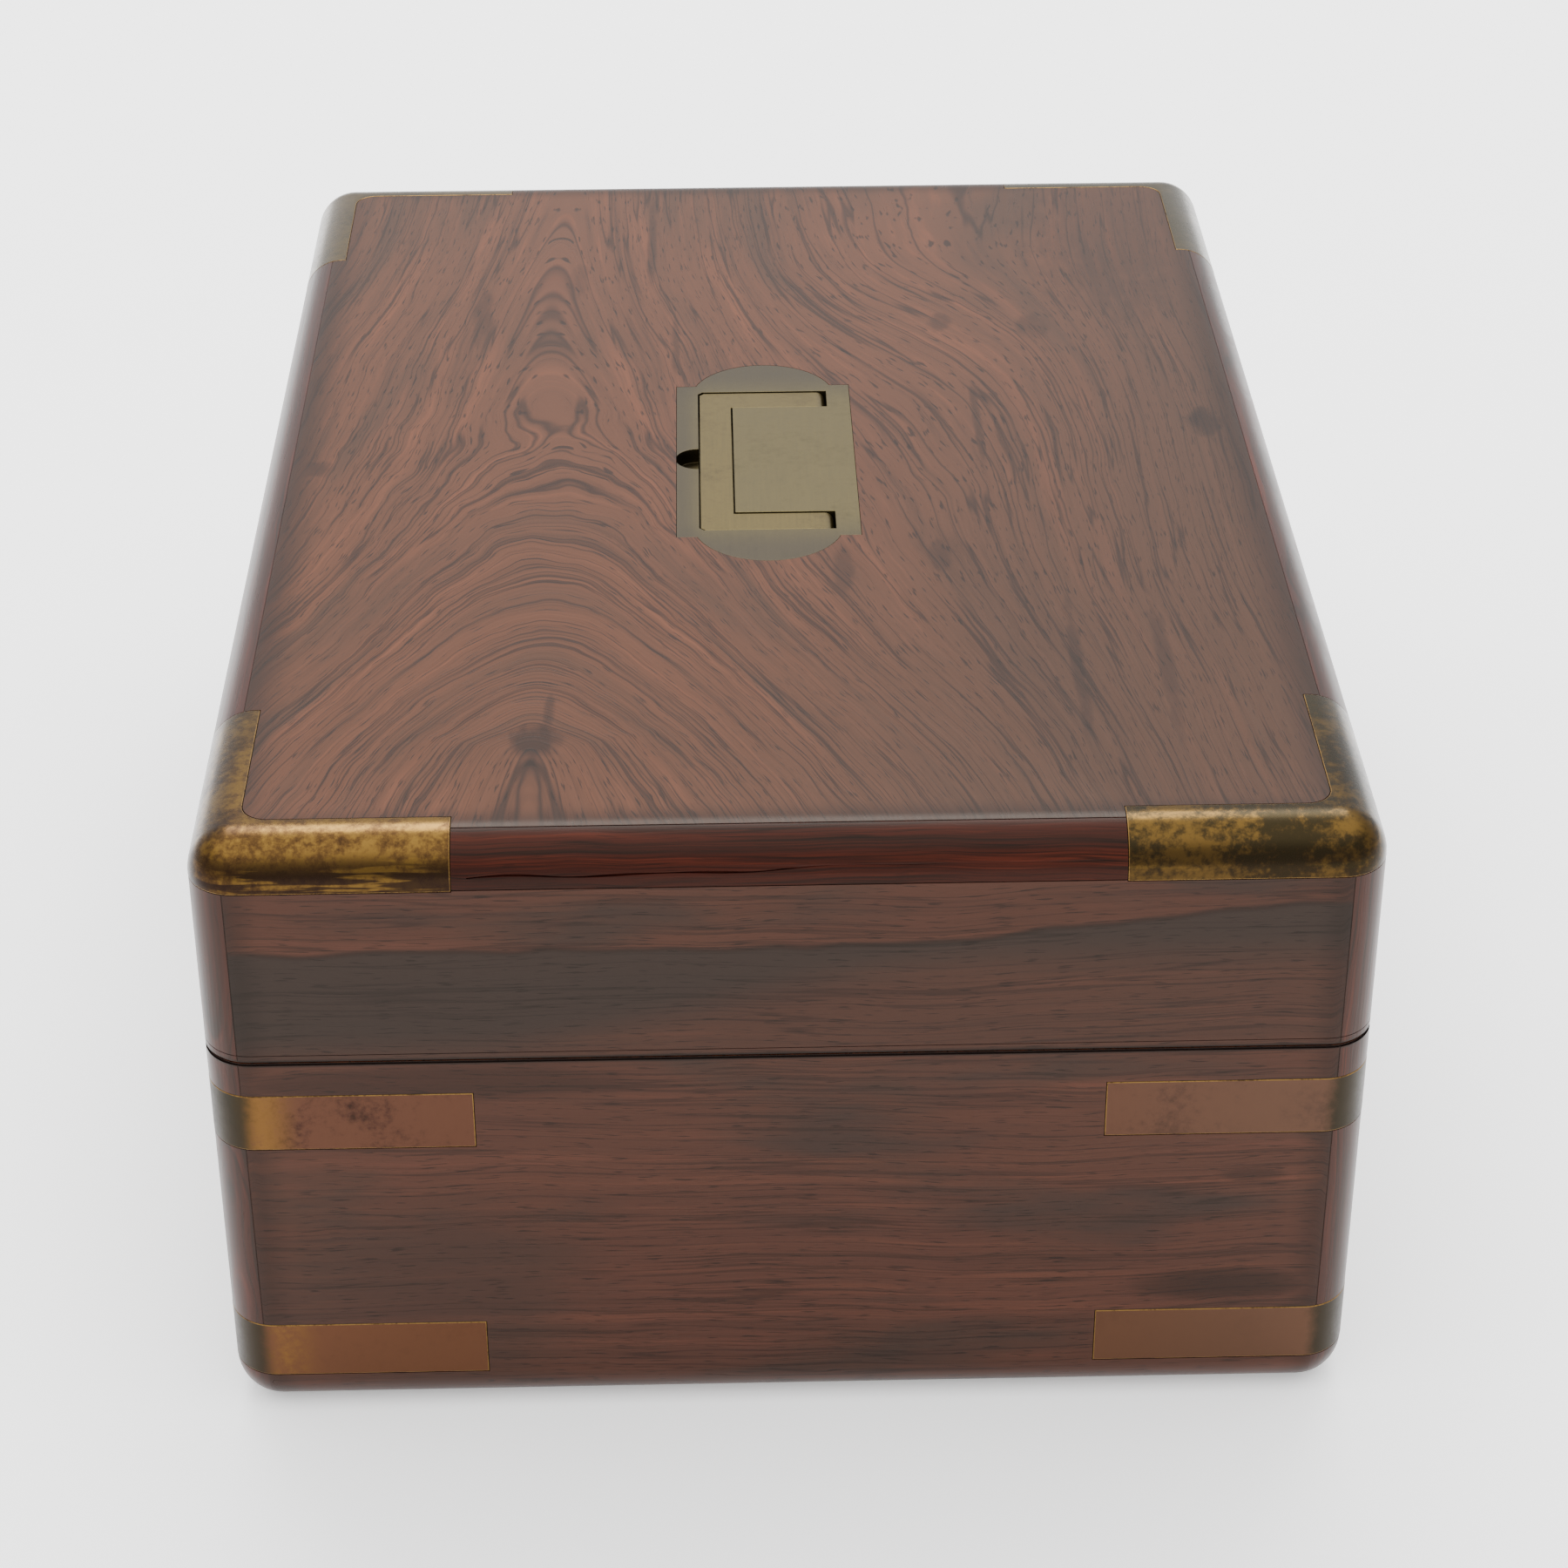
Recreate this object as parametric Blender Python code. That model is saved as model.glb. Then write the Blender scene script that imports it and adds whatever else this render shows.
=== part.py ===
"""A brass-bound rosewood travelling box with a gimballed marine chronometer in its well.

Every function works in millimetres and MM turns them into Blender's metres. +Z is up, +X is the front
with the lock, and the hinges are on the -X side. The origin is the middle of the box's bottom. The bowl's
own heights are counted from its gimbal pivot.
"""

from math import acos, atan2, cos, degrees, hypot, radians, sin, sqrt

import bmesh
import bpy
from mathutils import Matrix, Vector

MM = 0.001
GAP = 0.3
GLUE_LINE = 0.1

# The box: outside size, rounding, and the seam between base and lid.
WIDTH = 229.0
DEPTH = 325.5
HEIGHT = 137.4
ROUNDING = 9.6
ROUND_STEPS = 5
WALL = 12.0
FLOOR = 9.0
LID_TOP = 11.0
BASE_TOP = 88.0
LID_BOTTOM = 88.3
PANEL_BOTTOM = HEIGHT - LID_TOP
INNER_X = WIDTH / 2 - WALL
INNER_Y = DEPTH / 2 - WALL

# The brass let into the wood.
BRASS_THICKNESS = 1.2
RECESS = 0.15
STRAP_HEIGHT = 13.0
STRAP_BOTTOMS = (9.8, 67.3)
STRAP_ARM_X = 62.0
STRAP_ARM_Y = 111.0
CORNER_ARM_X = 64.0
CORNER_ARM_Y = 111.0
CORNER_INNER_X = 104.0
CORNER_INNER_Y = 152.0
CORNER_FILLET = 5.0
CORNER_BOTTOM = 127.3

# The flush handle in the lid: half sizes about its own centre.
HANDLE_CENTRE = (-1.3, -2.4)
PLATE_HALF_X = 20.0
PLATE_HALF_Y = 37.5
PLATE_ARC_CHORD = 15.5
PLATE_ARC_RISE = 11.2
PLATE_BOTTOM = 131.6
BAIL_OUTER_X = -14.7
BAIL_HALF_Y = 34.0
BAIL_BAR = 7.2
BAIL_ARM = 7.5
BAIL_TOP = 137.2
BAIL_HALF_THICKNESS = 2.0
BAIL_PIVOT_X = 12.3
BAIL_CHAMFER = 1.6
BAIL_CLEARANCE = 0.4
GROOVE_BOTTOM = 132.6
PIVOT_PIN = 1.1
PIVOT_REACH = 2.0
NOTCH_X = -15.2
NOTCH_RADIUS = 5.0
NOTCH_BOTTOM = 134.0

# The hinges and the lock.
HINGE_X = -115.8
HINGE_Z = (BASE_TOP + LID_BOTTOM) / 2
HINGE_CENTRES = (-85.0, 85.0)
HINGE_HALF = 25.0
KNUCKLE = 2.5
KNUCKLE_HOLE = 1.35
HINGE_PIN = 1.0
LEAF = 1.6
LEAF_INNER = -104.5
LEAF_OUTER = -112.9
LID_KNUCKLE_HALF = 8.6
BASE_KNUCKLE_START = 9.0
LOCK_CASE = ((104.5, 110.5), (-22.0, 22.0), (62.0, 86.6))
LOCK_PLATE = ((103.5, 111.5), (-27.0, 27.0))
LOCK_POCKET = ((106.0, 109.0), (-14.0, 14.0), (72.0, 90.0))
LOCK_BOLT = ((106.35, 108.65), (-12.0, 3.0), (78.0, 85.5))
STAPLE = ((106.4, 108.6), (5.5, 10.5), (82.0, 88.5))
STAPLE_WINDOW = ((106.0, 109.0), (6.8, 9.2), (83.3, 86.0))
BASE_HINGE_ROOM = 85.0
LID_HINGE_ROOM = 91.3

# The inside of the base.
PARTITION_INNER = 78.0
PARTITION = 6.0
PARTITION_TOP = 84.0
KEY_CENTRE = (-15.0, 117.0, 13.4)
KEY_SHAFT = 3.5
KEY_COLLAR = 4.0
KEY_COLLAR_STEPS = (8.0, 7.0, 4.0, 3.0)
KEY_NECK = 2.6
KEY_ENDS = (-30.0, 26.0)
KEY_BOW_CENTRE = 36.0
KEY_BOW = (12.0, 15.0)
KEY_BOW_HOLE = (7.0, 9.5)
KEY_BOW_HALF = 2.0
KEY_SQUARE = 2.2
KEY_SOCKET = 10.0

# The gimbal.
PIVOT = 74.0
RING_INNER = 64.0
RING_OUTER = 70.0
RING_HALF = 5.0
RING_CHAMFER = 1.0
TRUNNION = 2.3
BEARING = 2.9
RING_TRUNNION_END = 77.3
BOWL_TRUNNION_END = 69.5
BRACKET = (10.0, -18.0, 9.0)
BRACKET_BACK = 77.7
BRACKET_FRONT = 75.7
BOSS_END = 71.0
BOSS = 6.0
ARM_PIVOT = (84.0, 81.0)
ARM_LENGTH = 34.0
ARM_HUB = 4.0
ARM_TIP = 2.0
ARM_PIN = 1.3
ARM_HOLE = 1.7
ARM_LOW = 84.3
ARM_HIGH = 86.8
ARM_PIN_LOW = 75.0

# The bowl, its bezel and the dial.
BOWL_OUTER = 54.0
BOWL_INNER = 52.0
BOWL_BOTTOM = -44.0
BOWL_RIM = 18.0
BOWL_FLAT = 40.0
LEDGE = (49.6, 5.5, 8.7)
BEZEL_OUTER = 56.0
BEZEL_INNER = 47.5
BEZEL_BOTTOM = 12.0
BEZEL_TOP = 24.0
GLASS = (51.0, 19.2, 21.9)
DIAL = (50.5, 12.0, 12.8)
TURNED_STEPS = 30
BEZEL_CHAMFER = 1.5
BEZEL_SEAT = 0.4
CENTRE_HOLE = 1.5
HAND_HOLE = 1.3

# The dust shutter under the bowl, about its own pivot, and the winding hole that it covers.
SHUTTER_REACH = 13.0
SHUTTER_DISC = 6.5
SHUTTER_HUB = 3.5
SHUTTER_LEVELS = (-46.0, -44.3)
SHUTTER_PIN_TOP = -41.4
SHUTTER_PIN = 1.2
SHUTTER_HOLE = 1.6
WINDING_HOLE = 4.0

# The hands: length, width, tail, where the spade is, and how wide it is.
HOUR_HAND = (27.0, 2.2, 5.0, 21.0, 5.0)
HOUR_LEVELS = (14.9, 15.5)
MINUTE_HAND = (42.0, 1.8, 8.0, 34.0, 4.0)
MINUTE_LEVELS = (16.0, 16.6)
HAND_HUB = 3.0
HAND_BORE = 1.4
SECONDS_HAND = ((5.0, -0.5), (5.0, 0.5), (-13.0, 0.2), (-13.0, -0.2))
UPDOWN_HAND = ((3.0, -0.6), (3.0, 0.6), (-9.5, 0.2), (-9.5, -0.2))
SMALL_LEVELS = (14.0, 14.5)
SMALL_HUB = 1.9
SECONDS_BORE = 1.2
UPDOWN_STEM = (9.6, 0.8)

# The movement's plates.
PILLAR_PLATE = (51.4, 9.0, 11.5)
BACK_PLATE = (48.0, -13.6, -11.4)
PILLAR = 2.5
PILLAR_CIRCLE = 45.0
PILLAR_ANGLES = (20.0, 95.0, 178.0, 268.0)
SHOULDER_LOW = -11.0
SHOULDER_HIGH = 8.6
PIVOT_LOW = -13.2
PIVOT_HIGH = 11.0
PIVOT_RADIUS = 0.6
PIVOT_HOLE = 1.0
FUSEE_PLATE_HOLE = 2.8
BALANCE_PLATE_HOLE = 1.5

# The train: tooth counts, modules and the places of the arbors.
GREAT_TEETH = 90
CENTRE_PINION = 14
CENTRE_TEETH = 90
THIRD_PINION = 12
THIRD_TEETH = 80
FOURTH_PINION = 10
FOURTH_TEETH = 80
ESCAPE_PINION = 10
ESCAPE_TEETH = 15
GREAT_MODULE = 0.44
CENTRE_MODULE = 0.4
THIRD_MODULE = 0.4
FOURTH_MODULE = 0.3
SECONDS_OFFSET = 22.0
FUSEE_ANGLE = 135.0
ESCAPE_ANGLE = -60.0
BARREL_CENTRE = (-24.1, -19.5)
BARREL = 15.0
BALANCE_CENTRE = (24.0, -21.0)
ESCAPE_RADIUS = 7.0
ROLLER = 3.0
UPDOWN_CENTRE = (-22.0, 0.0)
WHEEL_TOOTH = ((0.0, 0.7), (0.5, -0.9))
PINION_LEAF = ((-0.2, -1.0), (-0.12, 0.5), (0.12, 0.5), (0.2, -1.0))
ESCAPE_TOOTH = ((0.0, ESCAPE_RADIUS), (0.09, 5.0), (0.66, 5.0))
FUSEE_BASE = -8.2
FUSEE_STEP = 2.0
FUSEE_STEPS = 6
FUSEE_RADIUS = 12.5
CHAIN_HALF = (0.3, 0.6)
CHAIN_CLEARANCE = 0.35
CHAIN_TOP = 2.6
CHAIN_TURNS = 2
CHAIN_STEPS = 18
CHAIN_FUSEE_STEPS = 8

# Heights in the train.
WINDING_SQUARE = (-41.0, 2.0)
FUSEE_ARBOR = (-14.2, 2.3)
GREAT_WHEEL_LOW = -9.8
FUSEE_NECK = 1.6
BARREL_LEVELS = (-9.5, 4.0)
BARREL_ARBOR = 1.8
CENTRE_ARBOR = 1.3
CENTRE_PINION_LEVELS = (-10.4, -7.6)
CENTRE_WHEEL_LEVELS = (5.8, 7.0)
MINUTE_STEM = (16.9, 1.0)
THIRD_ARBOR = 1.1
THIRD_WHEEL_LEVELS = (1.0, 2.0)
THIRD_PINION_LEVELS = (5.2, 7.6)
FOURTH_ARBOR = 1.0
FOURTH_WHEEL_LEVELS = (-3.0, -2.0)
FOURTH_PINION_LEVELS = (0.0, 3.0)
SECONDS_STEM = (14.6, 0.8)
ESCAPE_ARBOR = 0.8
ESCAPE_WHEEL_LEVELS = (-8.5, -7.5)
ESCAPE_PINION_LEVELS = (-4.0, -1.0)

# The detent, the balance with its cock, and the balance spring, each about its own arbor.
DETENT_FOOT = (36.9, 5.0)
DETENT_FOOT_RADIUS = 2.4
DETENT_LEVELS = (-8.6, -7.4)
DETENT_BLADE_HALF = 0.35
DETENT_BLADE_END = -18.5
DETENT_ROOT = -2.3
DETENT_HUB = 2.9
BALANCE_RIM = (13.6, 11.8)
BALANCE_WEIGHT = 15.2
BALANCE_HUB = 3.0
BALANCE_LEVELS = (-18.8, -16.2)
BALANCE_ARBOR = 1.0
BALANCE_FOOT = -35.8
BALANCE_SHOULDER = -32.6
COCK_FOOT = (2.0, -38.0)
COCK_LEVELS = (-36.0, -33.0)
COCK_TOP = -13.9
COCK_TIP_RADIUS = 4.5
COCK_FOOT_RADIUS = 7.0
COCK_HEEL = 5.0
SPRING_RADIUS = 3.9
SPRING_HALF = 0.25
SPRING_LEVELS = (-31.8, -20.2)
SPRING_TURNS = 5
SPRING_STEPS = 12

ROSEWOOD = ((0.20, 0.065, 0.04), 0.0, 0.25)
BRASS = ((0.60, 0.42, 0.16), 1.0, 0.32)
OLD_BRASS = ((0.40, 0.30, 0.14), 1.0, 0.42)
GILT = ((0.80, 0.60, 0.26), 1.0, 0.28)
STEEL = ((0.45, 0.45, 0.47), 1.0, 0.25)
BLUED = ((0.03, 0.05, 0.16), 1.0, 0.25)
SILVERED = ((0.80, 0.79, 0.74), 0.2, 0.45)
GLASS_LOOK = ((0.92, 0.97, 0.95), 0.0, 0.03)

PLACES = {
    "X": lambda u, v, w: (w * MM, u * MM, v * MM),
    "Y": lambda u, v, w: (u * MM, w * MM, v * MM),
    "Z": lambda u, v, w: (u * MM, v * MM, w * MM),
}


def clear_scene():
    for old in list(bpy.data.objects):
        bpy.data.objects.remove(old)


# Outlines: lists of points in a plane, angles in degrees.


def polar(radius, angle, centre=(0.0, 0.0)):
    return (centre[0] + radius * cos(radians(angle)), centre[1] + radius * sin(radians(angle)))


def arc(centre, radius, start, end, steps):
    return [polar(radius, start + (end - start) * step / steps, centre) for step in range(steps + 1)]


def circle(radius, steps, centre=(0.0, 0.0)):
    return arc(centre, radius, 0, 360, steps)[:-1]


def rectangle(low, high):
    return [(low[0], low[1]), (high[0], low[1]), (high[0], high[1]), (low[0], high[1])]


def ellipse(half_u, half_v, steps, centre=(0.0, 0.0)):
    return [(centre[0] + half_u * u, centre[1] + half_v * v) for u, v in circle(1.0, steps)]


def toothed(teeth, module, profile, phase):
    """A toothed outline. profile gives each point's share of the pitch and its height in modules."""
    pitch = 360 / teeth
    radius = teeth * module / 2
    return [
        polar(radius + height * module, phase + (tooth + share) * pitch)
        for tooth in range(teeth)
        for share, height in profile
    ]


# Solids.


def new_shape(fill):
    """An object whose mesh the function fill makes, with all faces pointing out."""
    build = bmesh.new()
    fill(build)
    bmesh.ops.recalc_face_normals(build, faces=build.faces)
    mesh = bpy.data.meshes.new("shape")
    build.to_mesh(mesh)
    build.free()
    shape = bpy.data.objects.new("shape", mesh)
    bpy.context.scene.collection.objects.link(shape)
    return shape


def stack(layers, holes=(), axis="Z"):
    """One solid from prisms on one another.

    A layer is (low, high, outline) or (low, high, outline, windows). Of two neighbours, one outline lies
    inside the other. holes run through the whole stack.
    """
    place = PLACES[axis]

    def loop(build, outline, height):
        ring = [build.verts.new(place(u, v, height)) for u, v in outline]
        return ring, [build.edges.new((ring[i - 1], ring[i])) for i in range(len(ring))]

    def wall(build, lower, upper):
        for i in range(len(lower)):
            build.faces.new((lower[i - 1], lower[i], upper[i], upper[i - 1]))

    def girth(loops):
        return loops[0][0].calc_length() * len(loops[0])

    def cap(build, loops):
        bmesh.ops.triangle_fill(build, use_beauty=True, edges=[edge for one in loops for edge in one])

    def fill(build):
        ends = [[], []]
        below = None
        for low, high, outline, *rest in layers:
            windows = rest[0] if rest else []
            bottoms = [loop(build, line, low) for line in [outline, *windows]]
            tops = [loop(build, line, high) for line in [outline, *windows]]
            for bottom, top in zip(bottoms, tops):
                wall(build, bottom[0], top[0])
            here = [edges for _, edges in bottoms]
            if below is None:
                ends[0] = here
            else:
                smaller, larger = sorted((below, here), key=girth)
                cap(build, [larger[0], smaller[0], *larger[1:], *smaller[1:]])
            below = [edges for _, edges in tops]
        ends[1] = below
        through = [[loop(build, line, height) for line in holes] for height in (layers[0][0], layers[-1][1])]
        for lower, upper in zip(*through):
            wall(build, lower[0], upper[0])
        for end, pierced in zip(ends, through):
            cap(build, end + [edges for _, edges in pierced])

    return new_shape(fill)


def prism(outline, low, high, holes=(), axis="Z"):
    return stack([(low, high, outline)], holes, axis)


def block(x_range, y_range, z_range):
    return prism(rectangle((x_range[0], y_range[0]), (x_range[1], y_range[1])), *z_range)


def grown(ranges, margin):
    return [(low - margin, high + margin) for low, high in ranges]


def rod(radius, steps, low, high, axis="Z", centre=(0.0, 0.0)):
    return prism(circle(radius, steps, centre), low, high, axis=axis)


def turned(profile, steps=TURNED_STEPS, axis="Z"):
    """A solid of revolution. The (radius, height) profile is a loop, or it starts and ends at radius 0."""
    place = PLACES[axis]
    closed = profile[0][0] > 0

    def ring(build, radius, height):
        if radius == 0:
            return [build.verts.new(place(0, 0, height))] * steps
        return [build.verts.new(place(u, v, height)) for u, v in circle(radius, steps)]

    def fill(build):
        rings = [ring(build, radius, height) for radius, height in profile]
        pairs = list(zip(rings, rings[1:]))
        if closed:
            pairs.append((rings[-1], rings[0]))
        for lower, upper in pairs:
            for i in range(steps):
                corners = (lower[i - 1], lower[i], upper[i], upper[i - 1])
                build.faces.new(dict.fromkeys(corners))

    return new_shape(fill)


def rounded_block(inset=0.0):
    """The box's outside, drawn in by inset, with rounded edges and corners."""

    def fill(build):
        bmesh.ops.create_cube(build, size=1.0)
        for vertex in build.verts:
            vertex.co.x *= (WIDTH - 2 * inset) * MM
            vertex.co.y *= (DEPTH - 2 * inset) * MM
            vertex.co.z = (inset if vertex.co.z < 0 else HEIGHT - inset) * MM
        bmesh.ops.bevel(
            build,
            geom=build.edges[:],
            offset=(ROUNDING - inset) * MM,
            segments=ROUND_STEPS,
            profile=0.5,
            affect="EDGES",
        )

    return new_shape(fill)


def combined(body, tool, operation):
    modifier = body.modifiers.new(operation, "BOOLEAN")
    modifier.operation = operation
    modifier.solver = "EXACT"
    modifier.object = tool
    bpy.context.view_layer.update()
    graph = bpy.context.evaluated_depsgraph_get()
    result = bpy.data.meshes.new_from_object(body.evaluated_get(graph))
    body.modifiers.clear()
    body.data = result
    bpy.data.objects.remove(tool)
    return body


def cut(body, *tools):
    for tool in tools:
        combined(body, tool, "DIFFERENCE")
    return body


def unite(body, *tools):
    for tool in tools:
        combined(body, tool, "UNION")
    return body


def common(body, tool):
    return combined(body, tool, "INTERSECT")


# Placing.


def look_of(name, look):
    colour, metallic, roughness = look
    material = bpy.data.materials.new(name)
    material.use_nodes = True
    material.diffuse_color = (*colour, 1.0)
    shader = material.node_tree.nodes["Principled BSDF"]
    shader.inputs["Base Color"].default_value = (*colour, 1.0)
    shader.inputs["Metallic"].default_value = metallic
    shader.inputs["Roughness"].default_value = roughness
    return material


def axis_empty(name, at, parent=None):
    """A moving group's empty, on its joint's axis."""
    empty = bpy.data.objects.new(name, None)
    bpy.context.scene.collection.objects.link(empty)
    place(empty, at, parent)
    return empty


def place(thing, at, parent):
    thing.parent = parent
    base = parent.matrix_world.translation if parent else Vector()
    thing.location = Vector(at) * MM - base
    bpy.context.view_layer.update()


def piece(name, shape, look, at=(0.0, 0.0, 0.0), parent=None):
    """Names a finished shape and puts its origin at the place given, in the box's frame."""
    shape.name = name
    shape.data.name = name
    shape.data.materials.clear()
    shape.data.materials.append(look_of(name, look))
    shape.data.shade_smooth()
    shape.data.set_sharp_from_angle(angle=radians(30))
    place(shape, at, parent)
    return shape


# The box.


def strap_outline(side_x, side_y, depth, end_gap, outside):
    """A corner strap seen from above, from depth inside the box's surface to outside it."""
    middle = (WIDTH / 2 - ROUNDING, DEPTH / 2 - ROUNDING)
    end_x = STRAP_ARM_X - end_gap
    end_y = STRAP_ARM_Y - end_gap
    outer = arc(middle, ROUNDING + outside, 90, 0, ROUND_STEPS)
    inner = arc(middle, ROUNDING - depth, 0, 90, ROUND_STEPS)
    points = [
        (end_x, DEPTH / 2 + outside),
        *outer,
        (WIDTH / 2 + outside, end_y),
        (WIDTH / 2 - depth, end_y),
        *inner,
        (end_x, DEPTH / 2 - depth),
    ]
    return [(side_x * x, side_y * y) for x, y in points]


def corners():
    for side_x, end in ((1, "front"), (-1, "back")):
        for side_y, side in ((-1, "left"), (1, "right")):
            yield side_x, side_y, f"{end}_{side}"


def strap_recesses():
    for side_x, side_y, _ in corners():
        for bottom in STRAP_BOTTOMS:
            outline = strap_outline(side_x, side_y, BRASS_THICKNESS + RECESS, GLUE_LINE, 2.0)
            yield prism(outline, bottom - GLUE_LINE, bottom + STRAP_HEIGHT + GLUE_LINE)


def corner_zone(side_x, side_y, gap, bottom):
    """The L-shaped zone of the lid's top that a corner mount covers."""
    x = CORNER_INNER_X - gap
    y = CORNER_INNER_Y - gap
    far_x = WIDTH / 2 + 5
    far_y = DEPTH / 2 + 5
    fillet_centre = (x - CORNER_FILLET, y - CORNER_FILLET)
    points = [
        (CORNER_ARM_X - gap, y),
        *arc(fillet_centre, CORNER_FILLET, 90, 0, 4),
        (x, CORNER_ARM_Y - gap),
        (far_x, CORNER_ARM_Y - gap),
        (far_x, far_y),
        (CORNER_ARM_X - gap, far_y),
    ]
    return prism([(side_x * u, side_y * v) for u, v in points], bottom, HEIGHT + 5)


def wall_slab(side, low, high):
    """The slab of space that one of the four walls fills between two heights."""
    end_x = INNER_X - GLUE_LINE
    far = DEPTH
    slabs = {
        "front": ((INNER_X, WIDTH), (-far, far)),
        "back": ((-WIDTH, -INNER_X), (-far, far)),
        "left": ((-end_x, end_x), (-far, -INNER_Y)),
        "right": ((-end_x, end_x), (INNER_Y, far)),
    }
    return block(*slabs[side], (low, high))


def hinge_room(centre, low, high, leaf_low, leaf_high):
    """The space cut for one hinge: its knuckle and its leaf."""
    half = HINGE_HALF + GAP
    y_range = (centre - half, centre + half)
    knuckle = block((HINGE_X - 4, LEAF_OUTER), y_range, (low, high))
    leaf = block((LEAF_OUTER - 1, LEAF_INNER + RECESS), y_range, (leaf_low, leaf_high))
    return knuckle, leaf


def make_base():
    for side in ("front", "back", "left", "right"):
        wall = common(rounded_block(), wall_slab(side, -5, BASE_TOP))
        for recess in strap_recesses():
            cut(wall, recess)
        if side == "front":
            plate = (*LOCK_PLATE, (BASE_TOP - LEAF, BASE_TOP + 5))
            cut(wall, block(*grown(LOCK_CASE, RECESS)), block(*grown(plate, RECESS)))
        if side == "back":
            for centre in HINGE_CENTRES:
                high = BASE_TOP + 5
                cut(wall, *hinge_room(centre, BASE_HINGE_ROOM, high, BASE_TOP - LEAF - RECESS, high))
        piece(f"base_{side}_wall", wall, ROSEWOOD)
    edge_x = INNER_X - GLUE_LINE
    edge_y = INNER_Y - GLUE_LINE
    piece("base_floor", block((-edge_x, edge_x), (-edge_y, edge_y), (0, FLOOR)), ROSEWOOD)


def make_lid(lid_axis):
    for side in ("front", "back", "left", "right"):
        wall = common(rounded_block(), wall_slab(side, LID_BOTTOM, PANEL_BOTTOM - GLUE_LINE))
        if side == "front":
            plate = (*LOCK_PLATE, (LID_BOTTOM - 5, LID_BOTTOM + LEAF))
            cut(wall, block(*grown(plate, RECESS)))
        if side == "back":
            for centre in HINGE_CENTRES:
                low = LID_BOTTOM - 5
                cut(wall, *hinge_room(centre, low, LID_HINGE_ROOM, low, LID_BOTTOM + LEAF + RECESS))
        piece(f"lid_{side}_wall", wall, ROSEWOOD, parent=lid_axis)
    panel = common(rounded_block(), block((-WIDTH, WIDTH), (-DEPTH, DEPTH), (PANEL_BOTTOM, HEIGHT + 5)))
    for side_x, side_y, _ in corners():
        zone = corner_zone(side_x, side_y, GLUE_LINE, CORNER_BOTTOM - GLUE_LINE)
        cut(panel, cut(zone, rounded_block(BRASS_THICKNESS + RECESS)))
    pocket = prism(plate_outline(RECESS), PLATE_BOTTOM - RECESS, HEIGHT + 5)
    pocket.data.transform(handle_shift())
    cut(panel, pocket)
    piece("lid_top_panel", panel, ROSEWOOD, parent=lid_axis)


def make_straps():
    for bottom, level in zip(STRAP_BOTTOMS, ("lower", "upper")):
        for side_x, side_y, corner in corners():
            outline = strap_outline(side_x, side_y, BRASS_THICKNESS, 0, 0)
            piece(f"strap_{level}_{corner}", prism(outline, bottom, bottom + STRAP_HEIGHT), BRASS)


def make_corner_mounts(lid_axis):
    for side_x, side_y, corner in corners():
        shell = common(rounded_block(), corner_zone(side_x, side_y, 0, CORNER_BOTTOM))
        cut(shell, rounded_block(BRASS_THICKNESS))
        piece(f"lid_mount_{corner}", shell, BRASS, parent=lid_axis)


# The handle.


def handle_shift():
    return Matrix.Translation(Vector((*HANDLE_CENTRE, 0)) * MM)


def plate_outline(margin=0.0):
    """The handle plate's outline about its own centre: a rectangle with an arched end each way."""
    radius = (PLATE_ARC_CHORD**2 + PLATE_ARC_RISE**2) / (2 * PLATE_ARC_RISE)
    middle = PLATE_HALF_Y + PLATE_ARC_RISE - radius
    half = degrees(acos((PLATE_HALF_Y - middle) / radius))
    x = PLATE_HALF_X + margin
    y = PLATE_HALF_Y + margin
    top = arc((0, middle), radius + margin, 90 - half, 90 + half, 10)
    return [(-x, -y), *[(-u, -v) for u, v in top], (x, -y), (x, y), *top, (-x, y)]


def bail_outline(margin=0.0):
    """The C-shaped bail seen from above, about the plate's centre, grown by margin."""
    end = BAIL_PIVOT_X + BAIL_HALF_THICKNESS + margin
    outer_x = BAIL_OUTER_X - margin
    inner_x = BAIL_OUTER_X + BAIL_BAR + margin
    outer_y = BAIL_HALF_Y + margin
    inner_y = BAIL_HALF_Y - BAIL_ARM - margin
    chamfer = BAIL_CHAMFER
    return [
        (end, -outer_y),
        (end, -inner_y),
        (inner_x, -inner_y),
        (inner_x, inner_y),
        (end, inner_y),
        (end, outer_y),
        (outer_x + chamfer, outer_y),
        (outer_x, outer_y - chamfer),
        (outer_x, -outer_y + chamfer),
        (outer_x + chamfer, -outer_y),
    ]


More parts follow.
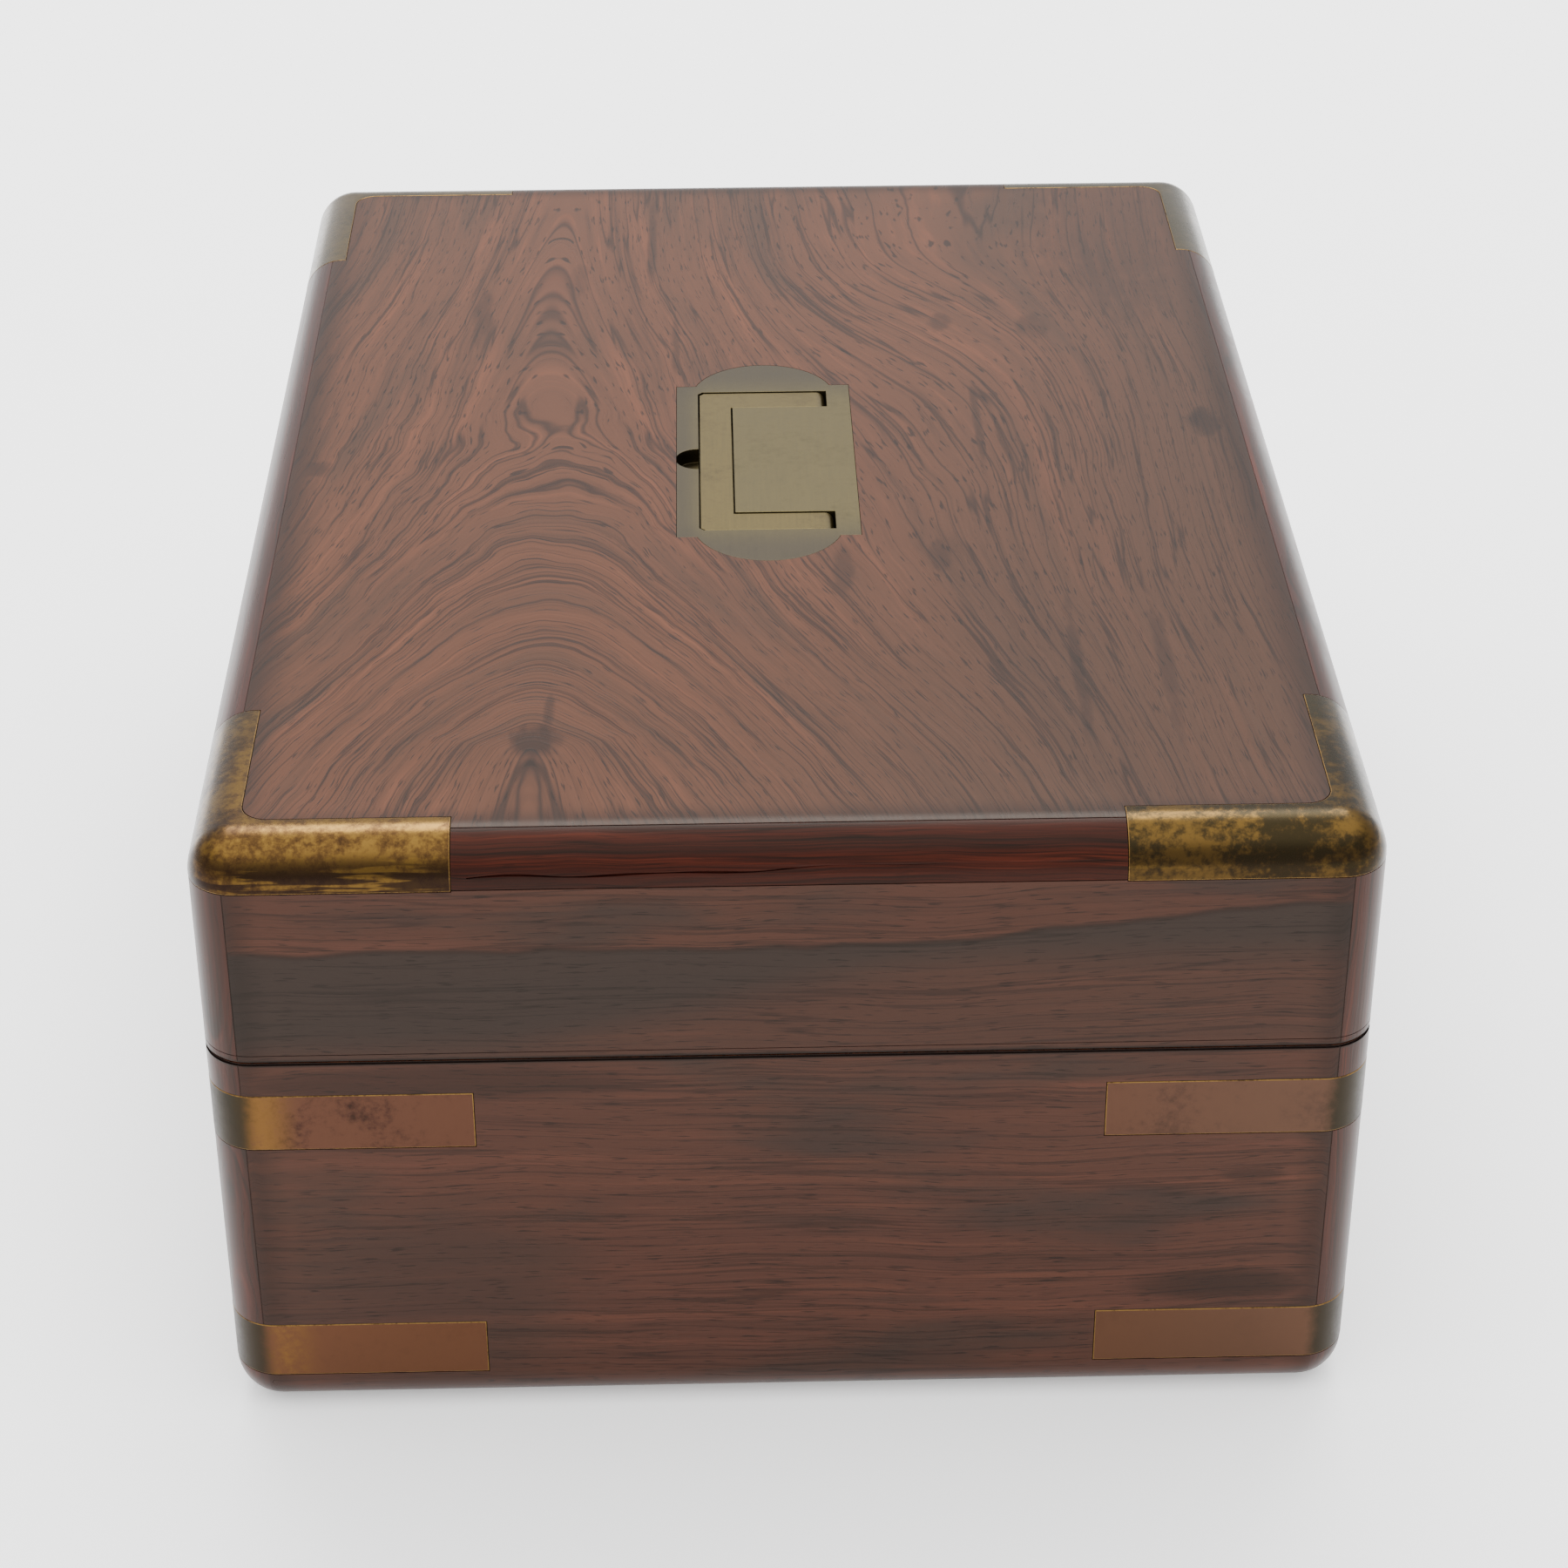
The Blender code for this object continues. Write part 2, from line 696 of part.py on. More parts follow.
def make_handle(lid_axis):
    plate = prism(plate_outline(), PLATE_BOTTOM, HEIGHT)
    notch = rod(NOTCH_RADIUS, 16, NOTCH_BOTTOM, HEIGHT + 5, centre=(NOTCH_X, 0))
    groove = prism(bail_outline(BAIL_CLEARANCE), GROOVE_BOTTOM, HEIGHT + 5)
    cut(plate, unite(groove, notch))
    pivot_z = BAIL_TOP - BAIL_HALF_THICKNESS
    for side in (-1, 1):
        reach = sorted((side * (BAIL_HALF_Y - 1), side * (BAIL_HALF_Y + PIVOT_REACH + 0.6)))
        cut(plate, rod(PIVOT_PIN + 0.4, 12, *reach, axis="Y", centre=(BAIL_PIVOT_X, pivot_z)))
    piece("handle_plate", plate, OLD_BRASS, (*HANDLE_CENTRE, 0), lid_axis)

    # The bail is made about its pivot line, and its ends are rounded about it.
    outline = [(x - BAIL_PIVOT_X, y) for x, y in bail_outline()]
    bail = prism(outline, -BAIL_HALF_THICKNESS, BAIL_HALF_THICKNESS)
    side_view = [
        (BAIL_OUTER_X - BAIL_PIVOT_X - 5, -BAIL_HALF_THICKNESS),
        *arc((0, 0), BAIL_HALF_THICKNESS, -90, 90, 6),
        (BAIL_OUTER_X - BAIL_PIVOT_X - 5, BAIL_HALF_THICKNESS),
    ]
    common(bail, prism(side_view, -BAIL_HALF_Y - 5, BAIL_HALF_Y + 5, axis="Y"))
    for side in (-1, 1):
        reach = sorted((side * (BAIL_HALF_Y - 3), side * (BAIL_HALF_Y + PIVOT_REACH)))
        unite(bail, rod(PIVOT_PIN, 12, *reach, axis="Y"))
    at = (HANDLE_CENTRE[0] + BAIL_PIVOT_X, HANDLE_CENTRE[1], pivot_z)
    piece("handle_bail", bail, BRASS, at, lid_axis)


# The hinges and the lock.


def knuckle_outline(leaf_low, leaf_high):
    """A knuckle with its leaf, seen along the pin and about the pin's centre."""
    low = degrees(atan2(leaf_low, sqrt(KNUCKLE**2 - leaf_low**2)))
    high = degrees(atan2(leaf_high, sqrt(KNUCKLE**2 - leaf_high**2)))
    inner = LEAF_OUTER - HINGE_X + 1
    around = arc((0, 0), KNUCKLE, high, low + 360, 14)
    return [*around, (inner, leaf_low), (inner, leaf_high)]


def make_hinge(name, centre, lid_axis):
    start = LEAF_OUTER - HINGE_X
    end = LEAF_INNER - HINGE_X
    base_low = BASE_TOP - LEAF - HINGE_Z
    base_high = BASE_TOP - HINGE_Z
    lid_low = LID_BOTTOM - HINGE_Z
    lid_high = LID_BOTTOM + LEAF - HINGE_Z
    half = HINGE_HALF

    base_leaf = block((start, end), (-half, half), (base_low, base_high))
    for span in ((-half, -BASE_KNUCKLE_START), (BASE_KNUCKLE_START, half)):
        unite(base_leaf, prism(knuckle_outline(base_low, base_high), *span, axis="Y"))
    unite(base_leaf, rod(HINGE_PIN, 12, -half + 1, half - 1, axis="Y"))
    piece(f"{name}_base_leaf", base_leaf, BRASS, (HINGE_X, centre, HINGE_Z))

    lid_leaf = block((start, end), (-half, half), (lid_low, lid_high))
    span = (-LID_KNUCKLE_HALF, LID_KNUCKLE_HALF)
    unite(lid_leaf, prism(knuckle_outline(lid_low, lid_high), *span, axis="Y"))
    cut(lid_leaf, rod(KNUCKLE_HOLE, 12, -half, half, axis="Y"))
    piece(f"{name}_lid_leaf", lid_leaf, BRASS, (HINGE_X, centre, HINGE_Z), lid_axis)


def make_lock(lid_axis):
    case = block(*LOCK_CASE)
    unite(case, block(*LOCK_PLATE, (BASE_TOP - LEAF, BASE_TOP)))
    cut(case, block(*LOCK_POCKET))
    piece("lock_case", case, BRASS)
    piece("lock_bolt", block(*LOCK_BOLT), STEEL)
    link = block(*LOCK_PLATE, (LID_BOTTOM, LID_BOTTOM + LEAF))
    unite(link, block(*STAPLE))
    cut(link, block(*STAPLE_WINDOW))
    piece("lock_link_plate", link, BRASS, parent=lid_axis)


# The inside of the base.


def make_partitions():
    edge = INNER_X - GLUE_LINE
    for side, name in ((-1, "left"), (1, "right")):
        span = sorted((side * PARTITION_INNER, side * (PARTITION_INNER + PARTITION)))
        wall = block((-edge, edge), span, (FLOOR + GLUE_LINE, PARTITION_TOP))
        if name == "right":
            cut(wall, rod(ARM_HOLE, 12, ARM_PIN_LOW - 1, PARTITION_TOP + 5, centre=ARM_PIVOT))
        piece(f"partition_{name}", wall, ROSEWOOD)


def make_key():
    """The winding key, lying along X."""
    low, high = KEY_ENDS
    first, second, third, fourth = [high - step for step in KEY_COLLAR_STEPS]
    shaft = turned(
        [
            (0, low),
            (KEY_SHAFT, low),
            (KEY_SHAFT, first),
            (KEY_COLLAR, second),
            (KEY_COLLAR, third),
            (KEY_NECK, fourth),
            (KEY_NECK, high),
            (0, high),
        ],
        16,
        axis="X",
    )
    bow = prism(
        ellipse(*KEY_BOW, 20, (KEY_BOW_CENTRE, 0)),
        -KEY_BOW_HALF,
        KEY_BOW_HALF,
        [ellipse(*KEY_BOW_HOLE, 16, (KEY_BOW_CENTRE, 0))],
    )
    unite(shaft, bow)
    square = KEY_SQUARE
    cut(shaft, block((low - 1, low + KEY_SOCKET), (-square, square), (-square, square)))
    piece("winding_key", shaft, BRASS, KEY_CENTRE)


def make_brackets():
    half, low, high = BRACKET
    for side, name in ((-1, "left"), (1, "right")):
        plate = rectangle((-half, low), (half, high))
        bearing = circle(BEARING, 16)
        levels = sorted((side * BRACKET_BACK, side * BRACKET_FRONT))
        boss_levels = sorted((side * BRACKET_FRONT, side * BOSS_END))
        layers = [(*levels, plate), (*boss_levels, circle(BOSS, 20))]
        shape = stack(sorted(layers, key=lambda layer: layer[0]), [bearing], axis="Y")
        piece(f"gimbal_bracket_{name}", shape, BRASS, (0, 0, PIVOT))


def make_lock_arm():
    """The arm that stops the gimbal for travel, on the right-hand partition's top edge."""
    tip = (-ARM_LENGTH, 0.0)
    outline = [*arc((0, 0), ARM_HUB, -100, 100, 8), *arc(tip, ARM_TIP, 95, 265, 4)]
    layers = [
        (ARM_PIN_LOW - PARTITION_TOP, ARM_LOW - PARTITION_TOP, circle(ARM_PIN, 10)),
        (ARM_LOW - PARTITION_TOP, ARM_HIGH - PARTITION_TOP, outline),
    ]
    piece("gimbal_lock_arm", stack(layers), BRASS, (*ARM_PIVOT, PARTITION_TOP))


def make_ring(ring_axis):
    inner, outer, half, chamfer = RING_INNER, RING_OUTER, RING_HALF, RING_CHAMFER
    ring = turned(
        [
            (inner, -half),
            (outer - chamfer, -half),
            (outer, chamfer - half),
            (outer, half - chamfer),
            (outer - chamfer, half),
            (inner, half),
        ],
        TURNED_STEPS,
    )
    cut(ring, rod(BEARING, 16, -outer - 5, outer + 5, axis="X"))
    for side in (-1, 1):
        span = sorted((side * (outer - 2), side * RING_TRUNNION_END))
        unite(ring, rod(TRUNNION, 16, *span, axis="Y"))
    piece("gimbal_ring", ring, BRASS, (0, 0, PIVOT), ring_axis)


# The bowl.


def fusee_centre():
    return polar((GREAT_TEETH + CENTRE_PINION) * GREAT_MODULE / 2, FUSEE_ANGLE)


def third_centre():
    """Where the third arbor stands, from its distances to the centre and to the fourth arbor."""
    from_centre = (CENTRE_TEETH + THIRD_PINION) * CENTRE_MODULE / 2
    from_fourth = (THIRD_TEETH + FOURTH_PINION) * THIRD_MODULE / 2
    x = (SECONDS_OFFSET**2 + from_centre**2 - from_fourth**2) / (2 * SECONDS_OFFSET)
    return x, sqrt(from_centre**2 - x**2)


def fourth_centre():
    return SECONDS_OFFSET, 0.0


def escape_centre():
    return polar((FOURTH_TEETH + ESCAPE_PINION) * FOURTH_MODULE / 2, ESCAPE_ANGLE, fourth_centre())


def direction(start, end):
    return degrees(atan2(end[1] - start[1], end[0] - start[0]))


def shutter_pivot():
    x, y = fusee_centre()
    return x, y - SHUTTER_REACH


def in_bowl(centre):
    return (*centre, PIVOT)


def make_bowl(bowl_axis):
    wall = BOWL_OUTER - BOWL_INNER
    corner = (BOWL_FLAT, BOWL_BOTTOM + BOWL_OUTER - BOWL_FLAT)
    ledge, ledge_low, ledge_high = LEDGE
    profile = [
        (0, BOWL_BOTTOM),
        *arc(corner, BOWL_OUTER - BOWL_FLAT, -90, 0, 4),
        (BOWL_OUTER, BOWL_RIM),
        (BOWL_INNER, BOWL_RIM),
        (BOWL_INNER, ledge_high),
        (ledge, ledge_high),
        (ledge, ledge_low),
        (BOWL_INNER, ledge_low - 2),
        *arc(corner, BOWL_INNER - BOWL_FLAT, 0, -90, 4),
        (0, BOWL_BOTTOM + wall),
    ]
    bowl = turned(profile)
    cut(bowl, rod(WINDING_HOLE, 16, BOWL_BOTTOM - 5, BOWL_BOTTOM + 5, centre=fusee_centre()))
    cut(bowl, rod(SHUTTER_HOLE, 12, BOWL_BOTTOM - 5, BOWL_BOTTOM + 5, centre=shutter_pivot()))
    for side in (-1, 1):
        span = sorted((side * (BOWL_OUTER - 1), side * BOWL_TRUNNION_END))
        unite(bowl, rod(TRUNNION, 16, *span, axis="X"))
    piece("bowl", bowl, BRASS, (0, 0, PIVOT), bowl_axis)


def make_bezel(bowl_axis):
    skirt = BOWL_OUTER + GAP
    seat = BOWL_RIM + BEZEL_SEAT
    glass, glass_low, glass_high = GLASS
    profile = [
        (skirt, BEZEL_BOTTOM),
        (BEZEL_OUTER, BEZEL_BOTTOM),
        (BEZEL_OUTER, BEZEL_TOP - BEZEL_CHAMFER),
        (BEZEL_OUTER - BEZEL_CHAMFER, BEZEL_TOP),
        (BEZEL_INNER, BEZEL_TOP),
        (BEZEL_INNER, glass_high + GAP),
        (glass + GAP, glass_high + GAP),
        (glass + GAP, glass_low - GAP),
        (BEZEL_INNER + 1, glass_low - GAP),
        (BEZEL_INNER + 1, seat),
        (skirt, seat),
    ]
    piece("bezel", turned(profile), BRASS, (0, 0, PIVOT), bowl_axis)
    crystal = prism(circle(glass, TURNED_STEPS), glass_low, glass_high)
    piece("bezel_glass", crystal, GLASS_LOOK, (0, 0, PIVOT), bowl_axis)


def hole(centre, radius):
    return circle(radius, 8, centre)


def hand_holes():
    """The holes that the dial and the pillar plate have for the hands' arbors."""
    small = [hole(centre, HAND_HOLE) for centre in (fourth_centre(), UPDOWN_CENTRE)]
    return [hole((0, 0), CENTRE_HOLE), *small]


def make_dial(bowl_axis):
    radius, low, high = DIAL
    dial = prism(circle(radius, 36), low, high, hand_holes())
    piece("dial", dial, SILVERED, (0, 0, PIVOT), bowl_axis)


def make_plates(bowl_axis):
    radius, low, high = PILLAR_PLATE
    pivoted = (third_centre(), escape_centre(), fusee_centre(), BARREL_CENTRE, BALANCE_CENTRE)
    pivots = [hole(centre, PIVOT_HOLE) for centre in pivoted]
    plate = prism(circle(radius, TURNED_STEPS), low, high, hand_holes() + pivots)
    for angle in PILLAR_ANGLES:
        unite(plate, rod(PILLAR, 12, SHOULDER_LOW - 0.1, low + 1, centre=polar(PILLAR_CIRCLE, angle)))
    piece("pillar_plate", plate, GILT, (0, 0, PIVOT), bowl_axis)

    radius, low, high = BACK_PLATE
    pivoted = ((0, 0), fourth_centre(), third_centre(), escape_centre(), BARREL_CENTRE)
    holes = [hole(centre, PIVOT_HOLE) for centre in pivoted]
    holes.append(circle(FUSEE_PLATE_HOLE, 12, fusee_centre()))
    holes.append(circle(BALANCE_PLATE_HOLE, 12, BALANCE_CENTRE))
    plate = prism(circle(radius, TURNED_STEPS), low, high, holes)
    piece("back_plate", plate, GILT, (0, 0, PIVOT), bowl_axis)


# The hands. Each points to twelve, towards -X.


def hand_outline(length, width, tail, spade_at, spade_width):
    """A spade hand about its arbor: a narrow blade, a spade near its tip and a short tail."""
    half = width / 2
    return [
        (tail, -half),
        (tail, half),
        (-spade_at + spade_width, half),
        (-spade_at, spade_width / 2),
        (-spade_at - spade_width, half * 0.7),
        (-length, 0.0),
        (-spade_at - spade_width, -half * 0.7),
        (-spade_at, -spade_width / 2),
        (-spade_at + spade_width, -half),
    ]


def make_hand(name, levels, hub, bore, outline, centre, parent):
    hand = prism(outline, *levels)
    unite(hand, rod(hub, 16, *levels))
    cut(hand, rod(bore, 8, levels[0] - 1, levels[1] + 1))
    piece(name, hand, BLUED, in_bowl(centre), parent)


def make_hands(bowl_axis):
    hour = hand_outline(*HOUR_HAND)
    make_hand("hour_hand", HOUR_LEVELS, HAND_HUB, HAND_BORE, hour, (0, 0), bowl_axis)
    minute = hand_outline(*MINUTE_HAND)
    make_hand("minute_hand", MINUTE_LEVELS, HAND_HUB, HAND_BORE, minute, (0, 0), bowl_axis)
    centre = fourth_centre()
    make_hand("seconds_hand", SMALL_LEVELS, SMALL_HUB, SECONDS_BORE, SECONDS_HAND, centre, bowl_axis)
    low, high = SMALL_LEVELS
    stem_low, stem = UPDOWN_STEM
    layers = [(stem_low, low, circle(stem, 8)), (low, high, circle(SMALL_HUB, 16))]
    hand = unite(stack(layers), prism(UPDOWN_HAND, low, high))
    piece("updown_hand", hand, BLUED, in_bowl(UPDOWN_CENTRE), bowl_axis)


# The train.


def arbor(*levels):
    """Plain round layers, from (low, high, radius)."""
    return [(low, high, circle(radius, 10)) for low, high, radius in levels]


def wheel(low, high, teeth, module, phase):
    return (low, high, toothed(teeth, module, WHEEL_TOOTH, phase))


def pinion(low, high, teeth, module, towards):
    """A pinion with a gap between two leaves in the direction of its wheel."""
    return (low, high, toothed(teeth, module, PINION_LEAF, towards + 180 / teeth))


def make_fusee(bowl_axis):
    centre = fusee_centre()
    steps = [
        (
            FUSEE_BASE + step * FUSEE_STEP,
            FUSEE_BASE + (step + 1) * FUSEE_STEP,
            circle(FUSEE_RADIUS - step, 18),
        )
        for step in range(FUSEE_STEPS)
    ]
    cone_top = FUSEE_BASE + FUSEE_STEPS * FUSEE_STEP
    square_low, square = WINDING_SQUARE
    arbor_low, thick = FUSEE_ARBOR
    layers = [
        (square_low, arbor_low, arc((0, 0), square, 45, 315, 3)),
        *arbor((arbor_low, GREAT_WHEEL_LOW, thick)),
        wheel(GREAT_WHEEL_LOW, FUSEE_BASE, GREAT_TEETH, GREAT_MODULE, direction(centre, (0, 0))),
        *steps,
        *arbor((cone_top, SHOULDER_HIGH, FUSEE_NECK), (SHOULDER_HIGH, PIVOT_HIGH, PIVOT_RADIUS)),
    ]
    piece("fusee", stack(layers), GILT, in_bowl(centre), bowl_axis)


def make_barrel(bowl_axis):
    low, high = BARREL_LEVELS
    layers = [
        *arbor((PIVOT_LOW, SHOULDER_LOW, PIVOT_RADIUS), (SHOULDER_LOW, low, BARREL_ARBOR)),
        (low, high, circle(BARREL, 24)),
        *arbor((high, SHOULDER_HIGH, BARREL_ARBOR), (SHOULDER_HIGH, PIVOT_HIGH, PIVOT_RADIUS)),
    ]
    piece("mainspring_barrel", stack(layers), GILT, in_bowl(BARREL_CENTRE), bowl_axis)


def make_train(bowl_axis):
    centre, third, fourth, escape = (0.0, 0.0), third_centre(), fourth_centre(), escape_centre()
    low_pivot = (PIVOT_LOW, SHOULDER_LOW, PIVOT_RADIUS)
    high_pivot = (SHOULDER_HIGH, PIVOT_HIGH, PIVOT_RADIUS)

    wheel_low, wheel_high = CENTRE_WHEEL_LEVELS
    pinion_low, pinion_high = CENTRE_PINION_LEVELS
    thick = CENTRE_ARBOR
    layers = [
        *arbor(low_pivot, (SHOULDER_LOW, pinion_low, thick)),
        pinion(pinion_low, pinion_high, CENTRE_PINION, GREAT_MODULE, direction(centre, fusee_centre())),
        *arbor((pinion_high, wheel_low, thick)),
        wheel(wheel_low, wheel_high, CENTRE_TEETH, CENTRE_MODULE, direction(centre, third)),
        *arbor((wheel_high, SHOULDER_HIGH, thick), (SHOULDER_HIGH, *MINUTE_STEM)),
    ]
    piece("centre_wheel", stack(layers), GILT, in_bowl(centre), bowl_axis)

    wheel_low, wheel_high = THIRD_WHEEL_LEVELS
    pinion_low, pinion_high = THIRD_PINION_LEVELS
    thick = THIRD_ARBOR
    layers = [
        *arbor(low_pivot, (SHOULDER_LOW, wheel_low, thick)),
        wheel(wheel_low, wheel_high, THIRD_TEETH, THIRD_MODULE, direction(third, fourth)),
        *arbor((wheel_high, pinion_low, thick)),
        pinion(pinion_low, pinion_high, THIRD_PINION, CENTRE_MODULE, direction(third, centre)),
        *arbor((pinion_high, SHOULDER_HIGH, thick), high_pivot),
    ]
    piece("third_wheel", stack(layers), GILT, in_bowl(third), bowl_axis)

    wheel_low, wheel_high = FOURTH_WHEEL_LEVELS
    pinion_low, pinion_high = FOURTH_PINION_LEVELS
    thick = FOURTH_ARBOR
    layers = [
        *arbor(low_pivot, (SHOULDER_LOW, wheel_low, thick)),
        wheel(wheel_low, wheel_high, FOURTH_TEETH, FOURTH_MODULE, direction(fourth, escape)),
        *arbor((wheel_high, pinion_low, thick)),
        pinion(pinion_low, pinion_high, FOURTH_PINION, THIRD_MODULE, direction(fourth, third)),
        *arbor((pinion_high, SHOULDER_HIGH, thick), (SHOULDER_HIGH, *SECONDS_STEM)),
    ]
    piece("fourth_wheel", stack(layers), GILT, in_bowl(fourth), bowl_axis)

    saw = []
    for tooth in range(ESCAPE_TEETH):
        for share, reach in ESCAPE_TOOTH:
            saw.append(polar(reach, (tooth + share) * 360 / ESCAPE_TEETH))
    wheel_low, wheel_high = ESCAPE_WHEEL_LEVELS
    pinion_low, pinion_high = ESCAPE_PINION_LEVELS
    thick = ESCAPE_ARBOR
    layers = [
        *arbor(low_pivot, (SHOULDER_LOW, wheel_low, thick)),
        (wheel_low, wheel_high, saw),
        *arbor((wheel_high, pinion_low, thick)),
        pinion(pinion_low, pinion_high, ESCAPE_PINION, FOURTH_MODULE, direction(escape, fourth)),
        *arbor((pinion_high, SHOULDER_HIGH, thick), high_pivot),
    ]
    piece("escape_wheel", stack(layers), GILT, in_bowl(escape), bowl_axis)


def make_detent(bowl_axis):
    """The locking detent: a blade on a foot, beside the escape wheel."""
    low, high = DETENT_LEVELS
    half = DETENT_BLADE_HALF
    end = [(-half, DETENT_BLADE_END), (half, DETENT_BLADE_END), (half, DETENT_ROOT)]
    blade = [*end, *arc((0, 0), DETENT_HUB, -75, 255, 12), (-half, DETENT_ROOT)]
    layers = [(SHOULDER_LOW - 0.1, low, circle(DETENT_FOOT_RADIUS, 12)), (low, high, blade)]
    piece("detent", stack(layers), STEEL, in_bowl(DETENT_FOOT), bowl_axis)


def balance_outline():
    """The balance's rim with its two compensation weights."""
    rim = []
    for half_turn in (0, 180):
        rim += arc((0, 0), BALANCE_RIM[0], half_turn - 60, half_turn + 60, 8)
        rim += arc((0, 0), BALANCE_WEIGHT, half_turn + 72, half_turn + 108, 3)
    return rim


def make_balance(bowl_axis):
    window = [*arc((0, 0), BALANCE_RIM[1], 12, 168, 8), *arc((0, 0), BALANCE_HUB, 140, 40, 2)]
    windows = [window, [(-u, -v) for u, v in window]]
    rim_low, rim_high = BALANCE_LEVELS
    roller_low, roller_high = ESCAPE_WHEEL_LEVELS
    thick = BALANCE_ARBOR
    layers = [
        *arbor((BALANCE_FOOT, BALANCE_SHOULDER, PIVOT_RADIUS), (BALANCE_SHOULDER, rim_low, thick)),
        (rim_low, rim_high, balance_outline(), windows),
        *arbor((rim_high, roller_low, thick), (roller_low, roller_high, ROLLER)),
        *arbor((roller_high, SHOULDER_HIGH, thick), (SHOULDER_HIGH, PIVOT_HIGH, PIVOT_RADIUS)),
    ]
    piece("balance_wheel", stack(layers), GILT, in_bowl(BALANCE_CENTRE), bowl_axis)


def make_balance_cock(bowl_axis):
    foot = (COCK_FOOT[0] - BALANCE_CENTRE[0], COCK_FOOT[1] - BALANCE_CENTRE[1])
    along = direction(foot, (0, 0))
    tip = arc((0, 0), COCK_TIP_RADIUS, along - 100, along + 100, 8)
    outline = [*tip, *arc(foot, COCK_FOOT_RADIUS, along + 110, along + 250, 6)]
    low, high = COCK_LEVELS
    cock = stack([(low, high, outline), (high, COCK_TOP, circle(COCK_HEEL, 8, foot))])
    cut(cock, rod(PIVOT_HOLE, 8, low - 4, high + 3))
    piece("balance_cock", cock, GILT, in_bowl(BALANCE_CENTRE), bowl_axis)


def swept(route, half_width, half_height):
    """A strip of rectangular section along a route of (point, outward direction) pairs."""

    def fill(build):
        rings = []
        for point, outward in route:
            across = Vector((outward[0], outward[1], 0)) * half_width
            up = Vector((0, 0, half_height))
            middle = Vector(point)
            steps = (-across - up, across - up, across + up, up - across)
            rings.append([build.verts.new((middle + step) * MM) for step in steps])
        for lower, upper in zip(rings, rings[1:]):
            for i in range(4):
                build.faces.new((lower[i - 1], lower[i], upper[i], upper[i - 1]))
        build.faces.new(rings[0])
        build.faces.new(rings[-1])

    return new_shape(fill)


def make_balance_spring(bowl_axis):
    low, high = SPRING_LEVELS
    count = SPRING_TURNS * SPRING_STEPS
    route = []
    for step in range(count + 1):
        angle = 360 * step / SPRING_STEPS
        height = low + (high - low) * step / count
        route.append(((*polar(SPRING_RADIUS, angle), height), polar(1.0, angle)))
    spring = swept(route, SPRING_HALF, SPRING_HALF)
    piece("balance_spring", spring, BLUED, in_bowl(BALANCE_CENTRE), bowl_axis)


def make_chain(bowl_axis):
    """The fusee chain: turns on the barrel, a straight run, and a part turn on the fusee's largest step."""
    fusee = fusee_centre()
    reach_barrel = BARREL + CHAIN_CLEARANCE + CHAIN_HALF[0]
    reach_fusee = FUSEE_RADIUS + CHAIN_CLEARANCE + CHAIN_HALF[0]
    apart = hypot(fusee[0] - BARREL_CENTRE[0], fusee[1] - BARREL_CENTRE[1])
    tangent = direction(BARREL_CENTRE, fusee) + degrees(acos((reach_barrel - reach_fusee) / apart))
    bottom = FUSEE_BASE + FUSEE_STEP / 2
    count = CHAIN_TURNS * CHAIN_STEPS
    route = []
    for step in range(count + 1):
        angle = tangent + 360 * (count - step) / CHAIN_STEPS
        height = CHAIN_TOP + (bottom - CHAIN_TOP) * step / count
        route.append(((*polar(reach_barrel, angle, BARREL_CENTRE), height), polar(1.0, angle)))
    for step in range(CHAIN_FUSEE_STEPS + 1):
        angle = tangent - 360 * step / CHAIN_STEPS
        route.append(((*polar(reach_fusee, angle, fusee), bottom), polar(1.0, angle)))
    piece("fusee_chain", swept(route, *CHAIN_HALF), STEEL, (0, 0, PIVOT), bowl_axis)


def make_shutter(bowl_axis):
    """The dust shutter under the bowl, over the winding hole."""
    reach = (0.0, SHUTTER_REACH)
    outline = [*arc((0, 0), SHUTTER_HUB, 170, 370, 8), *arc(reach, SHUTTER_DISC, -20, 200, 10)]
    low, high = SHUTTER_LEVELS
    layers = [(low, high, outline), (high, SHUTTER_PIN_TOP, circle(SHUTTER_PIN, 10))]
    piece("winding_shutter", stack(layers), BRASS, in_bowl(shutter_pivot()), bowl_axis)


def main():
    clear_scene()
    lid_axis = axis_empty("lid_axis", (HINGE_X, 0, HINGE_Z))
    ring_axis = axis_empty("ring_axis", (0, 0, PIVOT))
    bowl_axis = axis_empty("bowl_axis", (0, 0, PIVOT), ring_axis)
    make_base()
    make_lid(lid_axis)
    make_straps()
    make_corner_mounts(lid_axis)
    make_handle(lid_axis)
    for centre, name in zip(HINGE_CENTRES, ("hinge_left", "hinge_right")):
        make_hinge(name, centre, lid_axis)
    make_lock(lid_axis)
    make_partitions()
    make_key()
    make_brackets()
    make_lock_arm()
    make_ring(ring_axis)
    make_bowl(bowl_axis)
    make_bezel(bowl_axis)
    make_dial(bowl_axis)
    make_plates(bowl_axis)
    make_hands(bowl_axis)
    make_fusee(bowl_axis)
    make_barrel(bowl_axis)
    make_train(bowl_axis)
    make_detent(bowl_axis)
    make_balance(bowl_axis)
    make_balance_cock(bowl_axis)
    make_balance_spring(bowl_axis)
    make_chain(bowl_axis)
    make_shutter(bowl_axis)


main()
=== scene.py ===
"""Looks of the brass-bound rosewood box and the marine chronometer in its well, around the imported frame.

Lengths in the functions are millimetres and MM turns them into metres. +Z is up, +X is the front with the
lock, and the camera looks along +Y at the left-hand end.
"""

from math import acos, cos, degrees, pi, radians, sin

import bmesh
import bpy
from mathutils import Matrix, Vector


